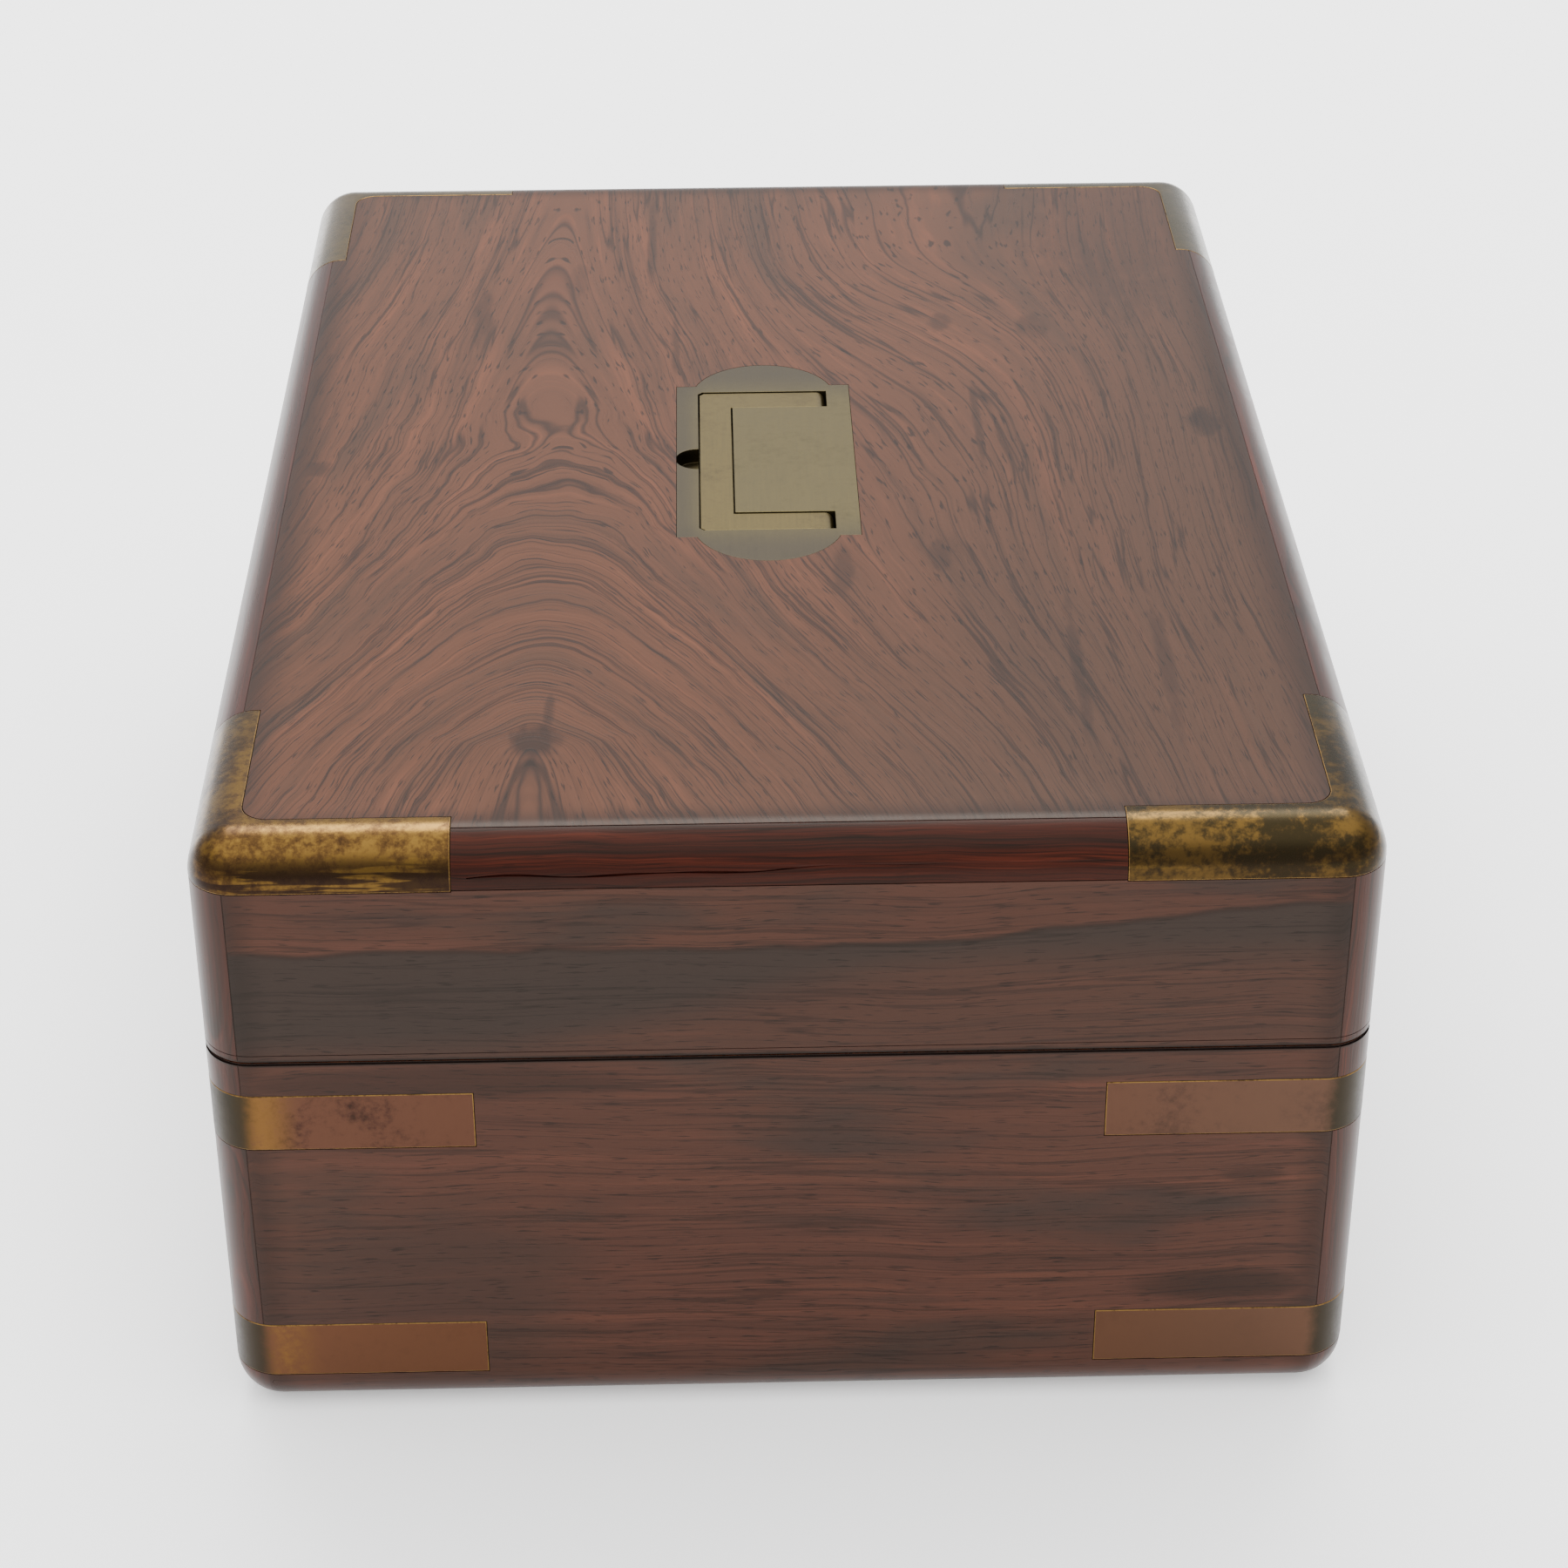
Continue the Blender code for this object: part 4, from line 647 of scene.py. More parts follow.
def mount_stain(graph, x, y, z, mottle):
    """Dark lacquer on the lower part of the lid's mounts, and olive tarnish on the right-hand ones."""
    ragged = graph.times(mottle, 9.0, graph.minus(z, 4.5))
    low = graph.smooth(ragged, 130.5, 135.5, 0.92, 0.0)
    low = graph.times(low, graph.smooth(x, -40.0, 80.0, 1.0, 0.4))
    streaks = graph.vector(graph.times(x, 0.06), graph.times(y, 0.06), graph.times(z, 0.9))
    streak = graph.noise(streaks, detail=3.0)
    low = graph.times(low, graph.smooth(streak, 0.52, 0.62, 1.0, 0.35))
    right = graph.times(graph.smooth(x, 0.0, 60.0), graph.smooth(mottle, 0.38, 0.56, 0.45, 1.0))
    far = graph.smooth(y, -140.0, -60.0, 0.0, 0.55)
    return (
        (right, srgb(38, 32, 20)),
        (far, srgb(74, 66, 44)),
        (low, srgb(30, 21, 18)),
    )


def plate_stain(graph, x, y, z, mottle):
    """The handle plate is duller towards its ends and its left-hand edge."""
    ends = graph.smooth(graph.size(graph.minus(y, HANDLE_CENTRE[1])), 26.0, 44.0, 0.0, 0.85)
    edge = graph.smooth(x, HANDLE_CENTRE[0] - 12.0, HANDLE_CENTRE[0] - 19.0, 0.0, 0.8)
    return ((ends, srgb(57, 51, 42)), (edge, srgb(57, 51, 41)))


EDGE_GOLD = (srgb(112, 86, 46), srgb(78, 58, 34), srgb(38, 29, 20))


def make_metals():
    mount = (srgb(98, 74, 34), srgb(72, 52, 27), srgb(36, 24, 17))
    strap = (srgb(72, 48, 37), srgb(60, 40, 32), srgb(34, 26, 22))
    plate = (srgb(82, 73, 46), srgb(72, 64, 41), srgb(48, 43, 30))
    bail = (srgb(91, 79, 45), srgb(77, 66, 39), srgb(52, 45, 29))
    brass = (srgb(150, 116, 56), srgb(128, 96, 48), srgb(84, 60, 34))
    gilt = (srgb(170, 136, 74), srgb(150, 118, 62), srgb(110, 84, 46))
    steel = (srgb(128, 128, 130), srgb(106, 106, 108), srgb(66, 64, 62))
    blued = (srgb(34, 48, 104), srgb(24, 34, 80), srgb(16, 20, 44))
    shadow = (srgb(12, 10, 9), srgb(9, 8, 7), srgb(5, 5, 5))
    return {
        "mount": metal_graph("brass_mounts", mount, (0.42, 0.55), 0.20, stain=mount_stain),
        "strap": metal_graph("brass_straps", strap, (0.48, 0.62), 0.34, stain=strap_stain),
        "edge": metal_graph("rubbed_edges", EDGE_GOLD, (0.46, 0.60), 0.30, scale=0.2),
        "plate": metal_graph("handle_brass", plate, (0.45, 0.65), 0.34, brushed="Y", stain=plate_stain),
        "bail": metal_graph("bail_brass", bail, (0.45, 0.65), 0.30, brushed="Y"),
        "brass": metal_graph("lacquered_brass", brass, (0.5, 0.7), 0.22),
        "gilt": metal_graph("gilt_brass", gilt, (0.5, 0.75), 0.26),
        "steel": metal_graph("steel", steel, (0.5, 0.7), 0.24),
        "blued": metal_graph("blued_steel", blued, (0.5, 0.75), 0.18),
        "hole": metal_graph("keyhole_dark", shadow, (0.5, 0.75), 0.6),
    }


def make_dial_looks():
    graph = Graph("silvered_dial")
    x, y, _ = graph.xyz_mm()
    grain = graph.noise(graph.vector(x, y), scale=1.6, detail=3.0)
    age = graph.noise(graph.vector(x, y), scale=0.05, detail=3.0)
    colour = graph.mix(graph.smooth(age, 0.35, 0.7), srgb(206, 202, 190), srgb(186, 180, 162))
    silver = graph.finish(
        Base_Color=colour,
        Metallic=0.35,
        Roughness=graph.times(grain, 0.2, 0.35),
        Normal=graph.bump(grain, 0.15, 0.02),
    )
    graph = Graph("black_wax")
    x, y, _ = graph.xyz_mm()
    worn = graph.noise(graph.vector(x, y), scale=0.8, detail=2.0)
    wax = graph.finish(Base_Color=graph.mix(worn, srgb(14, 14, 16), srgb(30, 29, 30)), Roughness=0.5)
    graph = Graph("crystal")
    facing = graph.add("ShaderNodeLayerWeight", {"Blend": 0.5}).outputs["Facing"]
    sheen = graph.times(graph.math("POWER", facing, 5.0), 0.6)
    x, y, _ = graph.xyz_mm()
    dust = graph.noise(graph.vector(x, y), scale=0.4, detail=3.0)
    alpha = graph.math("ADD", graph.times(dust, 0.02, 0.015), sheen)
    glass = graph.finish(Base_Color=(0.95, 0.97, 0.96, 1.0), Metallic=1.0, Roughness=0.03, Alpha=alpha)
    return {"silver": silver, "wax": wax, "glass": glass}


# ---------------------------------------------------------------- the carcass


def corners():
    for side_x, end in ((1, "front"), (-1, "back")):
        for side_y, side in ((-1, "left"), (1, "right")):
            yield side_x, side_y, f"{end}_{side}"


STRAP_LOW, STRAP_HIGH = low_high("strap_lower_front_left")
UPPER_STRAP_LOW, UPPER_STRAP_HIGH = low_high("strap_upper_front_left")
MOUNT_LOW = low_high("lid_mount_front_right")[0]
BRASS_THICKNESS = 1.2
RECESS = 0.08
PROUD = 0.04  # how far the brass stands above the wood
BRASS_BEVEL = 0.22
LEAF_ROOM = 1.7
LOCK_ROOM = ((104.3, 110.7), (-22.2, 22.2))
HINGE_ROOM = (85.0, 91.3)
CORNER_INNER_X = 104.0
CORNER_INNER_Y = 152.0
CORNER_FILLET = 5.0
LOCK_LOW, LOCK_HIGH = low_high("lock_case")
LINK_LOW, LINK_HIGH = low_high("lock_link_plate")


def strap_outline(side_x, side_y, depth, end_gap, outside):
    """A corner strap seen from above, from depth inside the box's surface to outside it."""
    middle = (WIDTH / 2 - ROUNDING, DEPTH / 2 - ROUNDING)
    end_x = STRAP_LOW[0] - end_gap
    end_y = -STRAP_HIGH[1] - end_gap
    points = [
        (end_x, DEPTH / 2 + outside),
        *arc(middle, ROUNDING + outside, 90, 0, ROUND_STEPS),
        (WIDTH / 2 + outside, end_y),
        (WIDTH / 2 - depth, end_y),
        *arc(middle, ROUNDING - depth, 0, 90, ROUND_STEPS),
        (end_x, DEPTH / 2 - depth),
    ]
    return [(side_x * x, side_y * y) for x, y in points]


def corner_zone(side_x, side_y, gap, bottom):
    x = CORNER_INNER_X - gap
    y = CORNER_INNER_Y - gap
    end_x = MOUNT_LOW[0] - gap
    end_y = MOUNT_LOW[1] - gap
    far_x = WIDTH / 2 + PASS
    far_y = DEPTH / 2 + PASS
    points = [
        (end_x, y),
        *arc((x - CORNER_FILLET, y - CORNER_FILLET), CORNER_FILLET, 90, 0, 8),
        (x, end_y),
        (far_x, end_y),
        (far_x, far_y),
        (end_x, far_y),
    ]
    return prism([(side_x * u, side_y * v) for u, v in points], bottom, HEIGHT + PASS)


def frame_grooves(z_low, z_high):
    """Thin cutters for the joints between the corner mouldings and the faces."""
    x = WIDTH / 2 - MOULDING
    y = DEPTH / 2 - MOULDING
    half = GROOVE / 2
    for side_x in (-1, 1):
        for side_y in (-1, 1):
            edge_y = on_side(side_y, DEPTH / 2 - GROOVE_DEPTH, DEPTH / 2 + PASS)
            yield block((side_x * x - half, side_x * x + half), edge_y, (z_low, z_high))
            edge_x = on_side(side_x, WIDTH / 2 - GROOVE_DEPTH, WIDTH / 2 + PASS)
            yield block(edge_x, (side_y * y - half, side_y * y + half), (z_low, z_high))


def ring_cutter(z_low, z_high, depth):
    """A level groove all round the box."""
    outer = rectangle((-WIDTH, -DEPTH), (WIDTH, DEPTH))
    x = WIDTH / 2 - depth
    y = DEPTH / 2 - depth
    radius = ROUNDING - depth
    inner = []
    for angle, side_x, side_y in ((0, 1, 1), (90, -1, 1), (180, -1, -1), (270, 1, -1)):
        middle = (side_x * (x - radius), side_y * (y - radius))
        inner += arc(middle, radius, angle, angle + 90, ROUND_STEPS)
    return prism(outer, z_low, z_high, [inner])


def top_grooves():
    """The joint between the lid's top veneer and the mouldings round it."""
    x = WIDTH / 2 - MOULDING
    y = DEPTH / 2 - MOULDING
    half = GROOVE / 2
    outer = rectangle((-x - half, -y - half), (x + half, y + half))
    inner = rectangle((-x + half, -y + half), (x - half, y - half))
    return prism(outer, HEIGHT - GROOVE_DEPTH, HEIGHT + PASS, [inner])


def cavity(low, high):
    return block((-INNER_X, INNER_X), (-INNER_Y, INNER_Y), (low, high))


def moulding_cracks():
    """The glue line that has opened along the moulding of each end, between the mounts."""
    low, high = [], []
    for x in range(1 - CRACK_HALF, CRACK_HALF, 2):
        climbed = (x + CRACK_HALF) / (2 * CRACK_HALF)
        z = CRACK_FOOT + CRACK_RISE * climbed + 0.5 * sin(x / 7) * cos(x / 17)
        low.append((x, z))
        high.append((x, z + 0.35 + 0.15 * sin(x / 3)))
    for side in (-1, 1):
        reach = on_side(side, DEPTH / 2 - CRACK_DEPTH, DEPTH / 2 + PASS)
        yield prism([*low, *reversed(high)], *reach, axis="Y")


def lock_room(low, high, node_low, node_high):
    gap = 0.1
    x_range = (node_low[0] - gap, node_high[0] + gap)
    y_range = (node_low[1] - gap, node_high[1] + gap)
    return block(x_range, y_range, (low, high))


def hinge_rooms(low, high, leaf_low, leaf_high):
    for side in ("left", "right"):
        node_low, node_high = low_high(f"hinge_{side}_base_leaf")
        y_range = (node_low[1] - 0.2, node_high[1] + 0.2)
        yield block((-WIDTH, -WIDTH / 2 + 1.5), y_range, (low, high))
        yield block((-WIDTH, node_high[0] + 0.1), y_range, (leaf_low, leaf_high))


def paint_by_zone(shape, woods):
    """Gives every face of the carcass the grain that runs the right way there."""
    keys = ["top", "end", "side", "X", "Y", "Z", "inside"]
    shape.data.materials.clear()
    for key in keys:
        shape.data.materials.append(woods[key])
    x_edge = (WIDTH / 2 - MOULDING) * MM
    y_edge = (DEPTH / 2 - MOULDING) * MM
    z_edge = MOULDING_FOOT * MM
    for face in shape.data.polygons:
        centre, normal = face.center, face.normal
        face.material_index = keys.index(zone_of(centre, normal, x_edge, y_edge, z_edge))


def zone_of(centre, normal, x_edge, y_edge, z_edge):
    inside = abs(centre.x) < (INNER_X + 0.3) * MM and abs(centre.y) < (INNER_Y + 0.3) * MM
    if inside and centre.z < (HEIGHT - 1) * MM and centre.z > 0.5 * MM:
        return "inside"
    if normal.z > 0.9 and centre.z > z_edge and abs(centre.x) < x_edge and abs(centre.y) < y_edge:
        return "top"
    if centre.z > z_edge:
        return "X" if abs(centre.y) > y_edge and abs(centre.x) < x_edge else "Y"
    if abs(centre.x) > x_edge and abs(centre.y) > y_edge:
        return "Z"
    return "end" if abs(centre.y) > (INNER_Y + 0.3) * MM and abs(centre.x) < x_edge else "side"


def make_base(woods):
    base = common(rounded_block(), block((-WIDTH, WIDTH), (-DEPTH, DEPTH), (-PASS, BASE_TOP)))
    cut(base, cavity(FLOOR, BASE_TOP + PASS), ring_cutter(BASE_TOP - LIP, BASE_TOP + PASS, LIP))
    for side_x, side_y, _ in corners():
        outline = strap_outline(side_x, side_y, BRASS_THICKNESS + RECESS, RECESS, 2.0)
        cut(base, prism(outline, STRAP_LOW[2] - RECESS, STRAP_HIGH[2] + RECESS))
        cut(base, prism(outline, UPPER_STRAP_LOW[2] - RECESS, UPPER_STRAP_HIGH[2] + RECESS))
    for groove in frame_grooves(STRAP_LOW[2] + 1, BASE_TOP + PASS):
        cut(base, groove)
    plate_room = lock_room(BASE_TOP - LEAF_ROOM, BASE_TOP + PASS, LOCK_LOW, LOCK_HIGH)
    cut(base, plate_room, block(*LOCK_ROOM, (LOCK_LOW[2] - 0.2, BASE_TOP + PASS)))
    for room in hinge_rooms(HINGE_ROOM[0], BASE_TOP + PASS, BASE_TOP - LEAF_ROOM, BASE_TOP + PASS):
        cut(base, room)
    paint_by_zone(base, woods)
    nodes = ["base_front_wall", "base_back_wall", "base_left_wall", "base_right_wall", "base_floor"]
    piece("base_carcass", base, None, "base", nodes)


def make_lid(woods):
    lid = common(rounded_block(), block((-WIDTH, WIDTH), (-DEPTH, DEPTH), (LID_BOTTOM, HEIGHT + PASS)))
    cut(lid, cavity(LID_BOTTOM - PASS, PANEL_BOTTOM), ring_cutter(LID_BOTTOM - PASS, LID_BOTTOM + LIP, LIP))
    for side_x, side_y, _ in corners():
        zone = corner_zone(side_x, side_y, RECESS, MOUNT_LOW[2] - RECESS)
        cut(lid, cut(zone, rounded_block(BRASS_THICKNESS + RECESS)))
    for groove in frame_grooves(LID_BOTTOM - PASS, MOUNT_LOW[2] + 1):
        cut(lid, groove)
    cut(lid, ring_cutter(MOULDING_FOOT - GROOVE / 2, MOULDING_FOOT + GROOVE / 2, 0.3))
    for crack in moulding_cracks():
        cut(lid, crack)
    line, line_depth = RIM_LINE
    cut(lid, ring_cutter(LID_BOTTOM + RIM_BAND, LID_BOTTOM + RIM_BAND + line, line_depth))
    cut(lid, top_grooves())
    cut(lid, lock_room(LID_BOTTOM - PASS, LID_BOTTOM + LEAF_ROOM, LINK_LOW, LINK_HIGH))
    for room in hinge_rooms(LID_BOTTOM - PASS, HINGE_ROOM[1], LID_BOTTOM - PASS, LID_BOTTOM + LEAF_ROOM):
        cut(lid, room)
    pocket = prism(plate_outline(RECESS), PLATE_LOW[2] - 0.1, HEIGHT + PASS)
    pocket.data.transform(HANDLE_SHIFT)
    cut(lid, pocket)
    paint_by_zone(lid, woods)
    nodes = ["lid_front_wall", "lid_back_wall", "lid_left_wall", "lid_right_wall", "lid_top_panel"]
    piece("lid_carcass", lid, None, "lid", nodes)


def make_brass(metals):
    levels = {
        "lower": (STRAP_LOW[2], STRAP_HIGH[2]),
        "upper": (UPPER_STRAP_LOW[2], UPPER_STRAP_HIGH[2]),
    }
    for level, span in levels.items():
        for side_x, side_y, corner in corners():
            outline = strap_outline(side_x, side_y, BRASS_THICKNESS, 0, PROUD)
            strap = prism(outline, *span)
            node = f"strap_{level}_{corner}"
            look, edge = metals["strap"], metals["edge"]
            piece(f"brass_{node}", strap, look, "base", [node], bevel=BRASS_BEVEL, edge=edge)
    for side_x, side_y, corner in corners():
        shell = common(rounded_block(-PROUD), corner_zone(side_x, side_y, 0, MOUNT_LOW[2]))
        cut(shell, rounded_block(BRASS_THICKNESS))
        node = f"lid_mount_{corner}"
        piece(f"brass_{node}", shell, metals["mount"], "lid", [node], bevel=BRASS_BEVEL, edge=metals["edge"])


# ---------------------------------------------------------------- the handle

PLATE_LOW, PLATE_HIGH = low_high("handle_plate")
HANDLE_CENTRE = ((PLATE_LOW[0] + PLATE_HIGH[0]) / 2, (PLATE_LOW[1] + PLATE_HIGH[1]) / 2)
HANDLE_SHIFT = Matrix.Translation(Vector((*HANDLE_CENTRE, 0)) * MM)
BAIL_LOW, BAIL_HIGH = low_high("handle_bail")
PLATE_HALF_X = (PLATE_HIGH[0] - PLATE_LOW[0]) / 2
PLATE_HALF_Y = 37.5
PLATE_ARC_CHORD = 15.5
PLATE_ARC_RISE = (PLATE_HIGH[1] - PLATE_LOW[1]) / 2 - PLATE_HALF_Y
BAIL_OUTER_X = BAIL_LOW[0] - HANDLE_CENTRE[0]
BAIL_END_X = BAIL_HIGH[0] - HANDLE_CENTRE[0]
BAIL_HALF_Y = 34.0
BAIL_BAR = 7.2
BAIL_ARM = 7.5
BAIL_CHAMFER = 1.0
BAIL_ROOM = (0.35, 0.6)
NOTCH_RADIUS = 5.0
NOTCH_DEPTH = 3.4


def plate_outline(margin=0.0):
    radius = (PLATE_ARC_CHORD**2 + PLATE_ARC_RISE**2) / (2 * PLATE_ARC_RISE)
    middle = PLATE_HALF_Y + PLATE_ARC_RISE - radius
    half = degrees(acos((PLATE_HALF_Y - middle) / radius))
    x = PLATE_HALF_X + margin
    y = PLATE_HALF_Y + margin
    top = arc((0, middle), radius + margin, 90 - half, 90 + half, 40)
    return [(-x, -y), *[(-u, -v) for u, v in top], (x, -y), (x, y), *top, (-x, y)]


def bail_outline(margin=0.0):
    end = BAIL_END_X + margin
    outer_x = BAIL_OUTER_X - margin
    inner_x = BAIL_OUTER_X + BAIL_BAR + margin
    outer_y = BAIL_HALF_Y + margin
    inner_y = BAIL_HALF_Y - BAIL_ARM - margin
    chamfer = BAIL_CHAMFER
    return [
        (end, -outer_y),
        (end, -inner_y),
        (inner_x, -inner_y),
        (inner_x, inner_y),
        (end, inner_y),
        (end, outer_y),
        (outer_x + chamfer, outer_y),
        (outer_x, outer_y - chamfer),
        (outer_x, -outer_y + chamfer),
        (outer_x + chamfer, -outer_y),
    ]


def make_handle(metals):
    plate = prism(plate_outline(), PLATE_LOW[2], HEIGHT)
    beside, below = BAIL_ROOM
    groove = prism(bail_outline(beside), BAIL_LOW[2] - below, HEIGHT + PASS)
    notch = rod(NOTCH_RADIUS, 32, HEIGHT - NOTCH_DEPTH, HEIGHT + PASS, centre=(BAIL_OUTER_X - 0.5, 0))
    cut(plate, unite(groove, notch))
    plate.data.transform(HANDLE_SHIFT)
    piece("brass_handle_plate", plate, metals["plate"], "lid", ["handle_plate"], bevel=0.15)

    low, high = BAIL_LOW[2], BAIL_HIGH[2]
    half = (high - low) / 2
    bail = prism(bail_outline(), low, high)
    side_view = [
        (BAIL_OUTER_X - PASS, low),
        *arc((BAIL_END_X - half, (low + high) / 2), half, -90, 90, 12),
        (BAIL_OUTER_X - PASS, high),
    ]
    common(bail, prism(side_view, -BAIL_HALF_Y - PASS, BAIL_HALF_Y + PASS, axis="Y"))
    bail.data.transform(HANDLE_SHIFT)
    piece("brass_handle_bail", bail, metals["bail"], "bail", ["handle_bail"], bevel=0.7)


# ---------------------------------------------------------------- inside

PIVOT = 74.0
RING_INNER = 64.0
RING_OUTER = 70.0
RING_HALF = 5.0
TRUNNION = 2.3
BEARING = 2.9
BEARING_REACH = 90
RING_CHAMFER = 1.2
RING_TRUNNION_END = 77.3
BRACKET = ((-10.0, -18.0), (10.0, 9.0))
BRACKET_DEPTHS = (77.7, 75.7, 71.0)
BOSS = 6.0
SCREW_PLACES = ((-7, -15), (7, -15), (-7, 6), (7, 6))
BOWL_OUTER = 54.0
BOWL_INNER = 52.0
BOWL_BOTTOM = -44.0
BOWL_RIM = 18.0
BOWL_FLAT = 40.0
BOWL_TRUNNION_END = 69.5
BOWL_BOSS = 4.2
BOWL_BOSS_END = 57.5
LEDGE_INNER = 49.6
LEDGE_LEVELS = (3.5, 5.5, 8.7)
WINDING_HOLE = 4.0
WINDING_AT = (-16.179, 16.179)
SHUTTER_PIN = 1.6
SHUTTER_AT = (-16.179, 3.179)
BEZEL_OUTER = 56.0
BEZEL_INNER = 47.5
BEZEL_BOTTOM = 12.0
BEZEL_TOP = 24.0
KNURLS = 180
KNURL = 0.25
KNURL_LEVELS = (14.2, 19.8)
GLASS_ROOM = 0.3
GLASS = (51.0, 19.2, 21.9)
DIAL = (50.5, 12.0, 12.8)
SECONDS_CENTRE = (22.0, 0.0)
UPDOWN_CENTRE = (-22.0, 0.0)
PRINT = 0.03
ARBOR_HOLES = ((1.5, (0, 0)), (1.3, SECONDS_CENTRE), (1.3, UPDOWN_CENTRE))
DIAL_RINGS = (  # the centre, radius and width of each circle on the dial
    ((0, 0), 43.2, 0.22),
    ((0, 0), 46.6, 0.3),
    ((0, 0), 33.9, 0.15),
    (SECONDS_CENTRE, 13.2, 0.2),
    (SECONDS_CENTRE, 10.9, 0.15),
    (UPDOWN_CENTRE, 10.4, 0.2),
    (UPDOWN_CENTRE, 8.6, 0.12),
)
DIAL_TICKS = (  # their centre, where they start and end, how many there are and how wide they are
    ((0, 0), 43.2, 46.8, 60, 0.26),
    ((0, 0), 43.2, 46.8, 12, 0.8),
    (SECONDS_CENTRE, 10.9, 13.2, 60, 0.16),
    (SECONDS_CENTRE, 10.9, 13.2, 12, 0.4),
    (UPDOWN_CENTRE, 8.6, 10.4, 36, 0.16),
)
DIAL_NUMBERS = (  # the figures, their centre, radius and size, and the degrees from one to the next
    (("60", "10", "20", "30", "40", "50"), SECONDS_CENTRE, 8.6, 3.0, -60),
    (("0", "8", "16", "24", "32", "40", "48", "56"), UPDOWN_CENTRE, 6.6, 2.2, 300 / 7),
)
NUMERALS = ("XII", "I", "II", "III", "IIII", "V", "VI", "VII", "VIII", "IX", "X", "XI")
NUMERAL_RADIUS = 38.6
NUMERAL_HEIGHT = 7.6
LETTERS = {
    "I": (2.2, [((0.0, 1.0), (0.0, -1.0), 0.55)]),
    "V": (4.4, [((-1.7, 1.0), (0.1, -1.0), 0.6), ((1.7, 1.0), (0.1, -1.0), 0.22)]),
    "X": (4.4, [((-1.5, 1.0), (1.5, -1.0), 0.6), ((1.5, 1.0), (-1.5, -1.0), 0.22)]),
}


def moved(shape, at, turn=0.0):
    """A finished shape carried from the origin to its place."""
    matrix = Matrix.Translation(Vector(at) * MM) @ Matrix.Rotation(radians(turn), 4, "Z")
    shape.data.transform(matrix)
    return shape


def at_pivot(shape):
    """A shape made about the gimbal's centre, carried up to it."""
    return moved(shape, (0, 0, PIVOT))


def make_gimbal(metals):
    inner, outer, half, chamfer = RING_INNER, RING_OUTER, RING_HALF, RING_CHAMFER
    profile = [
        (inner, chamfer / 2 - half),
        (inner + chamfer / 2, -half),
        (outer - chamfer, -half),
        *arc((outer - chamfer, chamfer - half), chamfer, -90, 0, 6)[1:],
        *arc((outer - chamfer, half - chamfer), chamfer, 0, 90, 6),
        (inner + chamfer / 2, half),
        (inner, half - chamfer / 2),
    ]
    ring = turned(profile, 160)
    cut(ring, rod(BEARING, 32, -outer - PASS, outer + PASS, axis="X"))
    for side in (-1, 1):
        unite(ring, rod(TRUNNION, 32, *on_side(side, outer - 2, RING_TRUNNION_END), axis="Y"))
    piece("fine_gimbal_ring", at_pivot(ring), metals["brass"], "ring", ["gimbal_ring"])


def make_brackets(metals):
    for side, name in ((-1, "left"), (1, "right")):
        back, front, end = BRACKET_DEPTHS
        plate = prism(rectangle(*BRACKET), *on_side(side, back, front), axis="Y")
        unite(plate, rod(BOSS, 48, *on_side(side, front - 0.5, end), axis="Y"))
        cut(plate, rod(BEARING, 32, -BEARING_REACH, BEARING_REACH, axis="Y"))
        at_pivot(plate)
        node = f"gimbal_bracket_{name}"
        piece(f"fine_bracket_{name}", plate, metals["brass"], "base", [node], bevel=0.35)
        heads = [screw_head(2.0, 0.7, 30 * spot) for spot in range(len(SCREW_PLACES))]
        for head, (x, z) in zip(heads, SCREW_PLACES):
            head.data.transform(Matrix.Rotation(radians(side * 90), 4, "X"))
            moved(head, (x, side * front, PIVOT + z))
        piece(f"bracket_screws_{name}", joined(heads), metals["steel"], "base", bevel=0.1)


def screw_head(radius, height, turn):
    """A slotted screw's head, standing on z = 0."""
    head = rod(radius, 24, 0, height)
    slot = block((-radius - 1, radius + 1), (-radius * 0.13, radius * 0.13), (height * 0.45, height + 1))
    slot.data.transform(Matrix.Rotation(radians(turn), 4, "Z"))
    return cut(head, slot)


def knurled(radius, height_low, height_high):
    """A ring of small vertical ridges to be joined to the bezel's edge."""
    outline = []
    for step in range(KNURLS):
        outline.append(polar(radius, 360 * step / KNURLS))
        outline.append(polar(radius - KNURL, 360 * (step + 0.5) / KNURLS))
    return prism(outline, height_low, height_high, [circle(radius - 1.2, 120)])


def make_bowl(metals):
    wall = BOWL_OUTER - BOWL_INNER
    foot, shelf, top = LEDGE_LEVELS
    corner = (BOWL_FLAT, BOWL_BOTTOM + BOWL_OUTER - BOWL_FLAT)
    profile = [
        (0, BOWL_BOTTOM),
        *arc(corner, BOWL_OUTER - BOWL_FLAT, -90, 0, 16),
        (BOWL_OUTER, BOWL_RIM),
        (BOWL_INNER, BOWL_RIM),
        (BOWL_INNER, top),
        (LEDGE_INNER, top),
        (LEDGE_INNER, shelf),
        (BOWL_INNER, foot),
        *arc(corner, BOWL_INNER - BOWL_FLAT, 0, -90, 16),
        (0, BOWL_BOTTOM + wall),
    ]
    bowl = turned(profile, 160)
    through = (BOWL_BOTTOM - PASS, BOWL_BOTTOM + PASS)
    hole = rod(WINDING_HOLE, 32, *through, centre=WINDING_AT)
    pin = rod(SHUTTER_PIN, 16, *through, centre=SHUTTER_AT)
    cut(bowl, hole, pin)
    for side in (-1, 1):
        for radius, steps, end in ((TRUNNION, 32, BOWL_TRUNNION_END), (BOWL_BOSS, 48, BOWL_BOSS_END)):
            unite(bowl, rod(radius, steps, *on_side(side, BOWL_OUTER - 1, end), axis="X"))
    piece("fine_bowl", at_pivot(bowl), metals["brass"], "bowl", ["bowl"])


